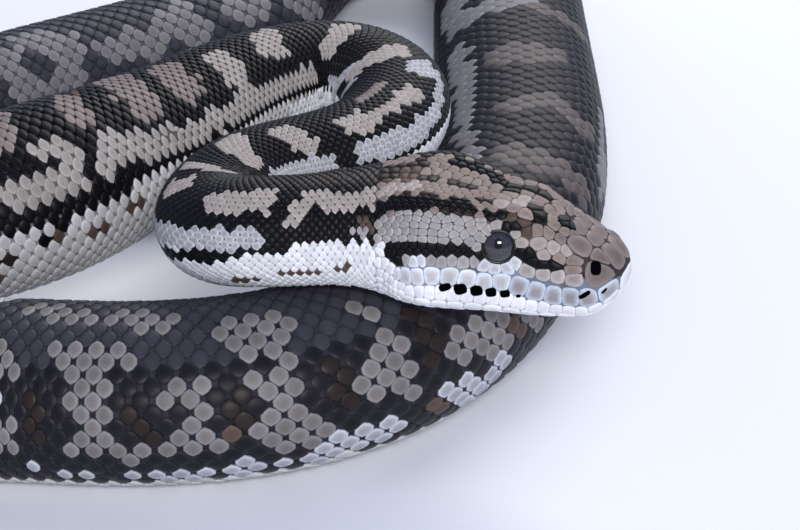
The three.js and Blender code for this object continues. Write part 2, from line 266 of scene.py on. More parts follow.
# Colours of a scale as seen in daylight: its middle, its edge, and the skin round it.
COLOURS = {
    "black": ((9, 9, 12), (19, 18, 23), (8, 8, 10)),
    "coal": ((22, 21, 26), (34, 33, 38), (46, 45, 52)),
    # painted sheen: the dark ground drawn lighter along the back, where light falls on it
    "sheen_slate": ((60, 60, 68), (52, 52, 60), (50, 50, 57)),
    "brown": ((80, 64, 56), (92, 76, 68), (26, 22, 21)),
    "umber": ((44, 35, 33), (40, 34, 34), (26, 23, 24)),
    "tan": ((128, 116, 111), (144, 133, 128), (60, 55, 56)),
    "sand": ((158, 148, 142), (186, 177, 171), (100, 92, 89)),
    "band": ((156, 148, 142), (184, 178, 174), (100, 95, 94)),
    "grey": ((112, 106, 103), (137, 134, 135), (34, 34, 39)),
    "flank": ((150, 148, 149), (204, 205, 211), (122, 121, 127)),
    "white": ((222, 222, 224), (238, 239, 242), (176, 178, 184)),
    "fringe": ((150, 150, 156), (198, 200, 208), (34, 34, 40)),
    # a pale grey for blotches, also used for a streak of painted sheen on the right strand
    "haze": ((118, 115, 116), (132, 130, 132), (88, 86, 91)),
    "fawn": ((152, 143, 137), (178, 172, 167), (104, 98, 96)),
    "pale": ((190, 188, 188), (214, 212, 212), (138, 136, 137)),
    "labial": ((186, 184, 185), (226, 231, 239), (126, 134, 148)),
    # painted shade: the tan of the blotches drawn darker for the right strand, where less light
    # falls
    "dusk": ((88, 80, 78), (100, 92, 91), (58, 54, 56)),
    "lip": ((148, 143, 145), (198, 208, 220), (112, 122, 140)),
    "pink": ((156, 146, 142), (190, 184, 182), (104, 100, 102)),
    "temple": ((150, 144, 141), (178, 174, 174), (80, 76, 78)),
    "crown": ((134, 118, 111), (154, 139, 132), (44, 37, 35)),
    "snout": ((118, 105, 100), (142, 131, 128), (58, 52, 52)),
}
COLOUR_NAMES = list(COLOURS)

# Each marking is a rounded streak between two places of the body, painted over those before it:
# station and angle of one end, station and angle of the other, half width in millimetres. A line
# gives a colour and the streaks that have it.
HEAD_SIDE_MARKS = [
    ("snout", (0, 30, 10, 40, 4), (0, 90, 8, 90, 6), (4.6, 17, 4.6, 20, 2.6)),
    ("lip", (2, -14, 11, -12, 2.4), (11, -11, 21, -8, 2.4)),
    ("pink", (20, 4, 10, 1, 0.8)),
    ("white", (22, -14, 45, -14, 2.3)),
    ("labial", (21, -3, 44, -3, 1.5), (28, 4.2, 46, 4, 0.7)),
    ("temple", (29, 23, 50, 21, 5.4)),
    ("black", (20.8, 10, 17.5, 11, 0.9), (17.5, 10, 12.4, 9, 1.15)),
    ("brown", (20.4, 38, 19.6, 52, 1.1)),
    ("black", (22.9, 31, 21.6, 44, 0.9)),
    ("sand", (20, 26, 12, 34, 1.9), (25.6, 34, 24.4, 50, 1.7)),
    ("temple", (30, 31, 44, 32, 4.1), (43, 30, 49.4, 26, 3.2)),
    ("pink", (27.4, 32, 28.6, 42, 1.6)),
    ("black", (27.5, 10.9, 51, 9.3, 1.45), (34, 51, 46, 49.5, 0.8), (45.6, 2, 46.4, 2, 0.9),
     (23.4, 54, 31, 57, 0.9), (31, 58, 43, 58.5, 2)),
    ("umber", (30, 52, 36, 51, 0.8), (38, 67, 44, 67, 0.8)),
    ("black", (43, 57, 52, 46, 2.3), (51.8, 44, 51.8, 8, 1.3)),
]
CROWN_MARKS = [
    ("sand", (22.5, 81, 26, 68, 2)),
    ("black", (18.6, 63, 18, 78, 1.5)),
    ("brown", (18.6, 46, 21.4, 55, 1)),
    ("black", (12, 78, 14.2, 77, 0.95), (38, 106, 31, 106, 1.4), (31, 106, 25.4, 95, 1.2),
     (22, 104, 20, 106, 1.5)),
    ("umber", (33.4, 86, 36.4, 89, 1), (41, 89, 43.6, 88, 0.8), (44, 100, 48, 96, 1.6),
     (28.6, 74, 30, 70, 0.9)),
    ("sand", (44, 76, 52, 66, 1.9)),
    ("brown", (46, 88, 54, 90, 2.2)),
]
NECK_MARKS = [
    ("umber", (50, 92, 64, 90, 2.4)),
    ("white", (51, 4, 65, 6, 2.3), (65, 0, 77, 0, 1.2)),
    ("black", (57.2, 12, 57.8, 20, 0.5)),
    ("flank", (74, 21, 82, 15, 2.6), (82, 15, 92, 0, 2.4)),
    ("black", (74, 7, 79, -2, 0.9), (79, -2, 86, -11, 1.2), (86, -11, 94, -25, 1.3)),
    ("brown", (57, -10, 60, -16, 0.5), (63, -19, 69, -20, 0.6), (74.6, -33, 77.4, -35, 0.7),
     (52.6, 27, 54, 35, 0.9)),
    ("sand", (53, 59, 60, 57, 2.7), (61, 66, 64, 66, 1.2), (63.8, 64, 67, 40, 1.9),
     (72.6, 64, 79, 55, 3.1), (93, 46, 91, 60, 2.6), (100, 56, 91, 108, 1.5),
     (109, 80, 106, 118, 3.3), (119.5, 100, 122.5, 124, 2.8)),
    ("flank", (107, 152, 125, 155, 2.9), (134, 152, 146, 157, 2.9), (146, 156, 157, 150, 1.9)),
    ("sand", (134, 114, 136, 118, 3.2), (136, 114, 148, 116, 1.7), (149, 117, 151, 122, 2.9)),
    ("tan", (141, 84, 151, 86, 1.4)),
    ("flank", (161, 112, 163, 130, 2.7), (163, 140, 157, 151, 1.4)),
    ("sand", (168.2, 95, 165, 44, 3.1)),
    ("flank", (170.3, 18, 179.9, 18, 1.5)),
    ("sand", (184.6, 88, 185.8, 54, 3.4)),
]
TRUNK_MARKS = [
    ("sand", (202.9, 92, 204, 67, 3.9), (217.9, 76, 217.9, 54, 3.7)),
    ("band", (217.9, 52, 217.9, 34, 2.3), (194.1, 22, 209.3, 23, 3.8), (209.3, 24, 221, 27, 3.4),
     (221, 27, 243, 29, 2.7), (243, 32, 253, 38, 4), (255, 54, 259, 28, 2.2)),
    ("tan", (230, 92, 231.5, 63, 4.2), (242, 108, 244, 63, 4.5), (257.5, 98, 258.5, 69, 3.1),
     (273, 98, 275, 72, 3.7)),
    ("brown", (252, 104, 253, 100, 1.2)),
    ("fawn", (268, 60, 263, 50, 2.2), (263, 50, 264.5, 30, 2.4), (264, 30, 270, 32, 3.3),
     (270, 33, 282, 40, 3.7)),
    ("black", (260.5, 58, 262, 26, 0.9), (188.2, 14, 255, 18, 0.8), (255, 17, 267, 15, 1.3),
     (267, 15, 283, 18, 1.5), (269, 8, 273, 1, 1.1)),
    ("brown", (255, 0, 258, -3, 0.7), (263, -7, 271, -2, 0.8)),
    ("black", (275, -18, 276, -19, 0.8)),
    ("umber", (278, -5, 282, -8, 1.3)),
    ("brown", (281, -19, 284, -22, 1.2)),
]
FRONT_MARKS = [
    ("grey", (443, 124, 443.5, 136, 2.6), (443, 172, 443, 180, 2.6), (447, 84, 457, 92, 3.2),
     (464, 88, 472, 97, 3.2), (454, 123, 465, 125, 2.9), (457, 134, 461, 134, 2.2),
     (458, 144, 462, 142, 2.2), (456, 154, 461, 154, 2.2), (458, 164, 459, 172, 2.3),
     (459, 172, 462, 174, 2.1), (456, 183, 467, 186, 2.3), (467, 186, 473, 180, 2.2),
     (474, 182, 478, 184, 2.2), (476, 170, 478, 182, 2.2), (472, 152, 477, 150, 2.4),
     (478, 160, 476, 170, 2.2), (474, 142, 474, 144, 1.8), (483, 108, 492, 112, 3.5),
     (488, 124, 492, 128, 2.5), (492, 136, 492, 146, 2.3), (488, 148, 492, 158, 2.3),
     (491, 164, 494, 172, 2.5), (486, 173, 496, 180, 2.6), (490, 184, 493, 190, 2.2),
     (508, 110, 510, 124, 2.2), (508, 138, 512, 146, 2.5), (506, 152, 512, 160, 2.6),
     (502, 160, 512, 173, 2.5), (523, 156, 523, 168, 2.5), (529, 154, 530, 170, 2.9),
     (534, 158, 533, 172, 1.8), (542, 172, 543, 182, 2.2)),
    ("fringe", (499, 196, 510, 198, 2.7), (498, 206, 507, 205, 2.3), (489, 209, 496, 212, 2),
     (517, 186, 526, 194, 3), (526, 206, 533, 193, 3.2), (522, 204, 530, 214, 2.1),
     (447, 200, 457, 210, 1.5), (466, 208, 472, 215, 1.4), (475, 213, 487, 209, 2.1),
     (482, 203, 484, 205, 1.6)),
    ("brown", (514, 189, 519, 198, 1.6), (483, 175, 484, 178, 1.4)),
    ("umber", (449, 152, 450, 174, 2.1), (467, 158, 469, 172, 2), (483, 154, 484, 166, 2.1),
     (499, 142, 500, 168, 2.1), (517, 130, 518, 158, 2.2)),
    ("brown", (537, 162, 538, 174, 1.9)),
]
SIDE_MARKS = [
    # painted shade: tan blotches of the right strand drawn darker, where less light falls
    ("dusk", (581, 96, 583, 140, 4.8), (608, 85, 612.5, 108, 4), (612.5, 108, 609, 138, 4),
     (637, 78, 640, 112, 5.2), (669, 108, 670, 150, 2.9)),
    ("haze", (669, 76, 673, 100, 2.9), (595, 54, 625, 46, 2.8), (625, 46, 651, 44, 3.4),
     (581, 70, 589, 62, 2.3), (667, 44, 687, 36, 4.5), (669, 60, 673, 72, 2.9),
     (595, 166, 627, 158, 2.1)),
    # painted shade: a tan blotch of the right strand drawn darker, where less light falls
    ("dusk", (557, 100, 555, 140, 3.6)),
    ("haze", (938, 66, 940, 50, 3.8), (939, 48, 934, 20, 4.2), (930, 78, 922, 58, 4.4),
     (922, 58, 923, 24, 4), (924, 26, 929, 14, 3.6), (910, 40, 899, 36, 4.6),
     (904, 50, 903, 44, 3.4), (894, 58, 888, 34, 4.2), (889, 66, 889, 50, 3.4),
     (876, 46, 872, 40, 4.2), (874, 58, 876, 48, 3), (860, 34, 855, 10, 4.2),
     # partly painted sheen: this pale streak along the right strand's right side stands for sheen
     # at its edge, partly for its own grey-tan speckles
     (590, 12, 655, 9, 4.2)),
]
# Stretches whose markings are left to chance: from, to, lowest and highest angle, spacing.
FREE_STRETCHES = [
    (54, 88, 124, 208, 13), (106, 188, -8, 50, 15), (168, 283, 126, 208, 15),
    (284, 437, -15, 205, 19), (439, 565, -15, 50, 20), (565, 695, 172, 208, 24),
    (695, 848, -15, 205, 24), (850, 944, 128, 208, 20), (946, 1080, -15, 205, 18),
    (1080, 1258, -10, 200, 13),
]
# Angle below which the belly is pale, by station.
PALE_BELOW = [
    (0, -6), (16, -5), (24, -3), (30, 1), (42, 0), (52, -3), (66, 2), (95, 0), (188, 8),
    (204, 14), (255, 14), (295, 10), (335, -12), (405, -38), (1290, -38),
]
# Where the dark ground is painted lighter as sheen along the back: the angle up the flank above
# which that painted sheen starts, by station.
SHEEN_FROM = [(305, 95), (385, 62), (435, 50), (550, 52), (575, 95), (800, 95), (850, 5), (1290, 0)]


def free_marks():
    """Markings of the stretches that no list gives: blotches at an even spacing in lanes along the
    body, set between those of the next lane, each a little moved and leaned by chance."""
    rng = np.random.default_rng(settings().seed)
    marks = []
    for start, end, low, high, spacing in FREE_STRETCHES:
        lanes = max(1, round((high - low) / 46))
        width = (high - low) / lanes
        for lane in range(lanes):
            middle = low + width * (lane + 0.5)
            on_back = 55 < middle < 125
            colour = "sand" if start < 200 else "tan" if start < 435 else "grey"
            if not on_back:
                colour = "flank" if start < 435 else "grey"
            for k in range(int((end - start) / spacing)):
                s = start + spacing * (k + 0.5 + 0.4 * (lane % 2)) + rng.uniform(-2, 2)
                lean, reach = rng.uniform(-4, 4), width * rng.uniform(0.2, 0.32)
                thick = spacing * rng.uniform(0.14, 0.22)
                marks.append((colour, s - lean, middle - reach, s + lean, middle + reach, thick))
    return marks


def spread(marks):
    """One (colour, station, angle, station, angle, half width) for each streak."""
    return [(colour, *streak) for colour, *streaks in marks for streak in streaks]


def all_marks():
    """Every marking, with the sides of the head alike."""
    right = spread(HEAD_SIDE_MARKS)
    left = [(c, s1, 180 - a1, s2, 180 - a2, w) for c, s1, a1, s2, a2, w in right]
    seen = spread(NECK_MARKS + TRUNK_MARKS + FRONT_MARKS + SIDE_MARKS)
    return right + left + spread(CROWN_MARKS) + free_marks() + seen


def ground(station, angle):
    """Colour index before any marking: crown of the head, black in front, dark behind with
    painted sheen lighter along the back, pale belly."""
    folded = np.degrees(np.arcsin(np.sin(np.radians(angle))))
    name = COLOUR_NAMES.index
    at, limit = np.array(SHEEN_FROM, float).T
    # painted sheen: above that angle the dark ground is lighter, standing for light along the back
    dark = np.where(folded > np.interp(station, at, limit), name("sheen_slate"), name("coal"))
    index = np.where(station < 305, name("black"), dark)
    index = np.where(station < NAPE, name("crown"), index)
    at, limit = np.array(PALE_BELOW, float).T
    belly = np.where(station < 205, name("white"), name("pale"))
    return np.where(folded < np.interp(station, at, limit), belly, index)


def marking_index(station, angle, wobble):
    """Index of the colour at each point: that of the last streak whose middle line is nearer than
    half width x (1 + wobble), with angles turned into millimetres by the half width there."""
    angle = np.mod(angle + 90, 360) - 90
    index = ground(station, angle + 8 * wobble)
    degree = np.pi / 180 * half_width(station)
    for colour, s1, a1, s2, a2, reach in all_marks():
        margin = 2 * reach
        near = np.flatnonzero((station > min(s1, s2) - margin) & (station < max(s1, s2) + margin))
        if not len(near):
            continue
        mm = degree[near]
        turned = np.mod(angle[near] - (a1 + a2) / 2 + 180, 360) - 180 + (a1 + a2) / 2
        along, across = s2 - s1, (a2 - a1) * mm
        x, y = station[near] - s1, (turned - a1) * mm
        share = np.clip((x * along + y * across) / (along**2 + across**2 + 1e-9), 0, 1)
        gap = np.hypot(x - share * along, y - share * across)
        inside = near[gap < reach * (1 + wobble[near])]
        index[inside] = COLOUR_NAMES.index(colour)
    return index


def daylight(colour):
    """Linear colour of a colour written in 0 to 255 as it looks in daylight."""
    c = np.asarray(colour, float) / 255
    return np.where(c <= 0.04045, c / 12.92, ((c + 0.055) / 1.055) ** 2.4)


PALETTE = daylight([COLOURS[name] for name in COLOUR_NAMES])


# ------------------------------------------------------------------ meshes and materials


def new_piece(name, points, faces, material, colours=None, patches=None):
    """Mesh of points in millimetres with arrays of faces, each array of faces of one kind, smooth
    shaded and riding on the body."""
    mesh = bpy.data.meshes.new(name)
    corners = np.concatenate([f.ravel() for f in faces])
    sizes = np.concatenate([np.full(len(f), f.shape[1]) for f in faces])
    mesh.vertices.add(len(points))
    mesh.vertices.foreach_set("co", (points * MM).astype(np.float32).ravel())
    mesh.loops.add(len(corners))
    mesh.loops.foreach_set("vertex_index", corners.astype(np.int32))
    mesh.polygons.add(len(sizes))
    starts = np.concatenate([[0], np.cumsum(sizes)[:-1]])
    mesh.polygons.foreach_set("loop_start", starts.astype(np.int32))
    mesh.polygons.foreach_set("use_smooth", np.ones(len(sizes), bool))
    mesh.update(calc_edges=True)
    if colours is not None:
        attribute = mesh.color_attributes.new("Marking", "FLOAT_COLOR", "POINT")
        rgba = np.concatenate([colours, np.ones((len(colours), 1))], 1)
        attribute.data.foreach_set("color", rgba.astype(np.float32).ravel())
    if patches is not None:
        layer = mesh.uv_layers.new(name="OFBake")
        layer.data.foreach_set("uv", patches[corners].astype(np.float32).ravel())
    mesh.validate()
    piece = bpy.data.objects.new(name, mesh)
    bpy.context.scene.collection.objects.link(piece)
    mesh.materials.append(material)
    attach(piece, "root")
    return piece


def grid_faces(rows, columns, closed=False):
    """Quads between neighbouring points of a grid, joined round in its second direction."""
    i = np.arange(rows - 1)[:, None]
    j = np.arange(columns if closed else columns - 1)[None, :]
    k = (j + 1) % columns
    quad = [i * columns + j, i * columns + k, (i + 1) * columns + k, (i + 1) * columns + j]
    return np.stack([np.broadcast_to(q, (rows - 1, j.size)) for q in quad], -1).reshape(-1, 4)


def end_fans(rows, columns):
    """Triangles that close the first and the last row of a grid, each round a point of its own:
    these two points come after the grid's."""
    i = np.arange(columns)
    k = (i + 1) % columns
    tip, last = rows * columns, (rows - 1) * columns
    return np.concatenate([np.stack([np.full(columns, tip), k, i], -1),
                           np.stack([np.full(columns, tip + 1), last + i, last + k], -1)])


def feed(tree, node, inputs):
    """Gives each input of a node a constant or a link from another node's output."""
    for key, value in inputs.items():
        if isinstance(value, bpy.types.NodeSocket):
            tree.links.new(value, node.inputs[key])
        else:
            node.inputs[key].default_value = value


def add_node(tree, kind, inputs=None, operation=None):
    """Outputs of a new shader node that has these inputs."""
    node = tree.nodes.new("ShaderNode" + kind)
    if operation:
        node.operation = operation
    feed(tree, node, inputs or {})
    return node.outputs


def scale_grain_group():
    """Shared grain of horny scales: faint mottling of the colour, uneven gloss and fine relief."""
    name = "Scale grain"
    if name in bpy.data.node_groups:
        return bpy.data.node_groups[name]
    group = bpy.data.node_groups.new(name, "ShaderNodeTree")
    new_socket = group.interface.new_socket
    new_socket(name="Color", in_out="INPUT", socket_type="NodeSocketColor")
    for label, value, low, high in (("Grain Size", 900.0, 1.0, 20000.0),
                                    ("Mottling", 0.25, 0.0, 1.0), ("Relief", 0.2, 0.0, 1.0),
                                    ("Gloss", 0.4, 0.0, 1.0)):
        made = new_socket(name=label, in_out="INPUT", socket_type="NodeSocketFloat")
        made.default_value, made.min_value, made.max_value = value, low, high
    for label, kind in (("Color", "Color"), ("Roughness", "Float"), ("Normal", "Vector")):
        new_socket(name=label, in_out="OUTPUT", socket_type="NodeSocket" + kind)
    given = group.nodes.new("NodeGroupInput").outputs
    place = add_node(group, "TexCoord")["Object"]
    fine = add_node(group, "TexNoise", {
        "Vector": place, "Scale": given["Grain Size"], "Detail": 4.0})["Fac"]
    broad = add_node(group, "TexNoise", {"Vector": place, "Scale": 220.0, "Detail": 2.0})["Fac"]
    both = add_node(group, "Math", {0: broad, 1: 0.5, 2: fine}, "MULTIPLY_ADD")[0]
    shift = add_node(group, "Math", {0: both, 1: 0.75}, "SUBTRACT")[0]
    amount = add_node(group, "Math", {0: shift, 1: given["Mottling"], 2: 1.0}, "MULTIPLY_ADD")[0]
    tint = add_node(group, "VectorMath", {0: given["Color"], "Scale": amount}, "SCALE")
    rough = add_node(group, "Math", {0: shift, 1: 0.25, 2: given["Gloss"]}, "MULTIPLY_ADD")[0]
    relief = add_node(group, "Bump", {
        "Height": fine, "Strength": given["Relief"], "Distance": 0.0001})
    feed(group, group.nodes.new("NodeGroupOutput"), {
        "Color": tint["Vector"], "Roughness": rough, "Normal": relief["Normal"]})
    return group


def new_material(name):
    """New material with its node tree and its shader."""
    material = bpy.data.materials.new(name)
    material.use_nodes = True
    return material, material.node_tree, material.node_tree.nodes["Principled BSDF"]


def scaly_material(name, grain_size, mottling, relief, gloss):
    """Markings from the mesh's own colours, with the shared grain."""
    if name in bpy.data.materials:
        return bpy.data.materials[name]
    material, tree, shader = new_material(name)
    marking = tree.nodes.new("ShaderNodeAttribute")
    marking.attribute_name = "Marking"
    grain = tree.nodes.new("ShaderNodeGroup")
    grain.node_tree = scale_grain_group()
    feed(tree, grain, {"Color": marking.outputs["Color"], "Grain Size": grain_size,
                       "Mottling": mottling, "Relief": relief, "Gloss": gloss})
    feed(tree, shader, {
        "Base Color": grain.outputs["Color"], "Roughness": grain.outputs["Roughness"],
        "Normal": grain.outputs["Normal"], "Specular IOR Level": 0.14})
    return material


def plain_material(name, colour, roughness, specular=0.5):
    material, tree, shader = new_material(name)
    feed(tree, shader, {"Base Color": (*daylight(colour), 1), "Roughness": roughness,
                        "Specular IOR Level": specular})
    return material


# ------------------------------------------------------------------ scales of the body


def row_layout(station):
    """Middle angle, spacing and fullness of every row of scales at each station. A row that ends
    narrows to nothing over a few scales while its neighbours close up."""
    last = np.full(FIRST_ROWS, PAST_TAIL)
    for end, row in ROW_ENDS:
        for r in (row, row + 1):
            last[r] = last[FIRST_ROWS - 1 - r] = end
    full = smooth(last[None, :] + ROW_FADE - np.asarray(station)[:, None], 0, 2 * ROW_FADE)
    total = full.sum(1, keepdims=True)
    span = 360 - 2 * BELLY_HALF_ANGLE
    upper = np.cumsum(full, 1)
    middle = -90 + BELLY_HALF_ANGLE + span * (upper - full / 2) / total
    return middle, span * full / total, full


def scale_columns():
    """Stations of the columns of scales: one scale length apart."""
    fine = np.arange(NAPE + 0.5, TAIL_TIP - 2.0, 0.25)
    count = np.cumsum(0.25 / scale_length(fine))
    whole = np.arange(0.5, count[-1], 0.5)
    return np.interp(whole, count, fine)


def body_lattice():
    """Station, angle, length and row spacing of each scale, in order from the neck. Every second
    row is set back by half a scale."""
    columns = scale_columns()
    middle, spacing, full = row_layout(columns)
    half_step = np.arange(len(columns))[:, None] % 2
    row = np.arange(FIRST_ROWS)[None, :] % 2
    kept = (half_step == row) & (full > 0.35)
    at = np.broadcast_to(columns[:, None], kept.shape)[kept]
    return at, middle[kept], scale_length(at), spacing[kept]


SCALES_PER_PIECE = 2200
SCALE_SIDES = 10
SCALE_RINGS = (0.55, 0.88, 1.0, 1.03)  # the last one goes down into the skin
REAR_STRETCH = 1.12  # the free rear half of a scale is longer by this
# Height of a scale over the skin, as shares of the coat's depth: at the rim, more towards its rear,
# more in its middle, less at the edge, and at the ring that goes down into the skin.
RISE_RIM, RISE_REAR, RISE_MIDDLE, RISE_EDGE, RISE_BURIED = 0.42, 0.3, 0.33, -0.12, -0.15


def scale_shape():
    """Outline of one scale, with the tail in +u: a rounded diamond
    |u|^p + |v|^p = 1 whose power is larger, so rounder, at the free end."""
    turn = (np.arange(SCALE_SIDES) + 0.5) / SCALE_SIDES * 2 * np.pi
    power = 1.5 + 0.14 * np.cos(turn)
    reach = (np.abs(np.cos(turn)) ** power + np.abs(np.sin(turn)) ** power) ** (-1 / power)
    return reach * np.cos(turn), reach * np.sin(turn)


def marking_colours(index, edge_share, chance):
    """Colour of a scale's points: its middle colour blended to its edge colour towards the rim, a
    little lighter or darker by chance."""
    middle, edge = PALETTE[index, 0], PALETTE[index, 1]
    share = edge_share[..., None]
    tone = (1 + 0.22 * (chance - 0.5))[..., None]
    return (middle * (1 - share) + edge * share) * tone


def bake_patches(station, angle, local_u, local_v, start, end):
    """A patch 0.003 across for each scale, at its own place on the unrolled skin."""
    across = 0.02 + 0.96 * (station - start) / max(end - start, 1)
    up = 0.02 + 0.96 * (np.mod(angle + 90, 360)) / 360
    return np.stack([across + 0.0015 * local_u, up + 0.0015 * local_v], -1)


def build_body_scales(name, at, angle, length, spacing, wobble, chance):
    """Each scale: point = surface(station + u x half length, angle + v x row spacing) + lift x
    normal, where the lift rises from the tucked front edge to the free rear edge and is domed."""
    shape_u, shape_v = scale_shape()
    ring = np.repeat(SCALE_RINGS, SCALE_SIDES)
    radius = np.concatenate([[0], ring])
    u = np.concatenate([[0], ring * np.tile(shape_u, len(SCALE_RINGS))])
    v = np.concatenate([[0], ring * np.tile(shape_v, len(SCALE_RINGS))])
    is_edge, is_buried = radius >= SCALE_RINGS[-2], radius >= SCALE_RINGS[-1]
    fit = settings().scale_fit * (1 - 0.05 * smooth(at, 300, 430))[:, None]
    rear = np.where(u > 0, REAR_STRETCH, 1.0)
    s = at[:, None] + (u * rear)[None] * 0.5 * fit * length[:, None]
    a = angle[:, None] + v[None] * fit * spacing[:, None]
    rise = RISE_RIM + RISE_REAR * u + RISE_MIDDLE * (1 - radius**2)
    rise = np.where(is_buried, RISE_BURIED, np.where(is_edge, rise + RISE_EDGE, rise))
    lift = (rise[None] * (0.9 + 0.2 * chance[:, None]) - 1) * coat_depth(at)[:, None]
    points = surface(s, a) + np.minimum(lift, -0.02)[..., None] * surface_normal(s, a)
    index = marking_index(at, angle, wobble)
    edge = np.clip((radius - 0.45) / 0.4, 0, 1)[None] * np.ones((len(at), 1))
    colours = marking_colours(index[:, None], edge, chance[:, None] * np.ones(edge.shape))
    share = np.where(is_buried, 1.0, np.where(is_edge, 0.55, 0.0))[:, None]
    colours = colours * (1 - share) + PALETTE[index, 2][:, None] * share
    patches = bake_patches(at[:, None], angle[:, None], u[None], v[None], at.min(), at.max())
    material = scaly_material("Body scales", 1500.0, 0.35, 0.25, settings().gloss)
    faces = [f[:, ::-1] for f in ring_faces(len(at), SCALE_SIDES, len(SCALE_RINGS))]
    new_piece(name, points.reshape(-1, 3), faces, material,
              colours.reshape(-1, 3), patches.reshape(-1, 2))


SCUTE_COLUMNS = 15
# Rows of points of a scute: place along it, and height over the skin as a share of the coat.
SCUTE_ROWS = [(-1.0, 0.1), (-0.4, 0.5), (0.2, 0.85), (0.75, 0.96), (0.97, 0.9), (1.0, -0.1)]


def scute_faces(rows, columns):
    """Grid of quads, with the underside and the two ends that close it."""
    j = np.arange(columns - 1)
    rear = (rows - 1) * columns
    under = np.stack([j + 1, j, rear + j, rear + j + 1], -1)
    end = np.arange(rows) * columns
    return grid_faces(rows, columns), under, np.stack([end, end[::-1] + columns - 1])


def build_belly_scutes(name, columns, chance):
    """Wide plates under the body, one to a column of scales: a grid across the belly and along,
    each rising from its tucked front edge to its free rear edge."""
    across = np.linspace(-1, 1, SCUTE_COLUMNS)
    along, height = np.array(SCUTE_ROWS).T
    length = scale_length(columns)[:, None, None]
    s = columns[:, None, None] + along[None, :, None] * 0.56 * length
    s = s - 0.12 * length * (across**2)[None, None, :]
    a = -90 + across[None, None, :] * (BELLY_HALF_ANGLE + 1.5)
    s, a = np.broadcast_arrays(s, a)
    rise = height[None, :, None] - 0.75 * np.abs(across[None, None, :]) ** 10
    lift = (np.broadcast_to(rise, s.shape) - 1) * coat_depth(columns)[:, None, None]
    points = surface(s, a) + np.minimum(lift, -0.005)[..., None] * surface_normal(s, a)
    start = (np.arange(len(columns)) * len(along) * len(across))[:, None, None]
    faces = [(f[None] + start).reshape(-1, f.shape[1])
             for f in scute_faces(len(along), len(across))]
    index = marking_index(columns, np.full(len(columns), -90.0), chance * 0)
    edge = np.clip(along * 1.2, 0, 1)[None, :, None] * np.ones(s.shape)
    colours = marking_colours(index[:, None, None], edge, chance[:, None, None] * np.ones(s.shape))
    local_u = np.broadcast_to(along[None, :, None], s.shape)
    local_v = np.broadcast_to(across[None, None, :], s.shape)
    patches = bake_patches(columns[:, None, None], -90.0, local_u, local_v,
                           columns.min(), columns.max())
    patches[..., 1] += 0.003
    material = scaly_material("Belly scutes", 1200.0, 0.15, 0.15, settings().gloss)
    new_piece(name, points.reshape(-1, 3), faces, material,
              colours.reshape(-1, 3), patches.reshape(-1, 2))


# ------------------------------------------------------------------ shields of the head

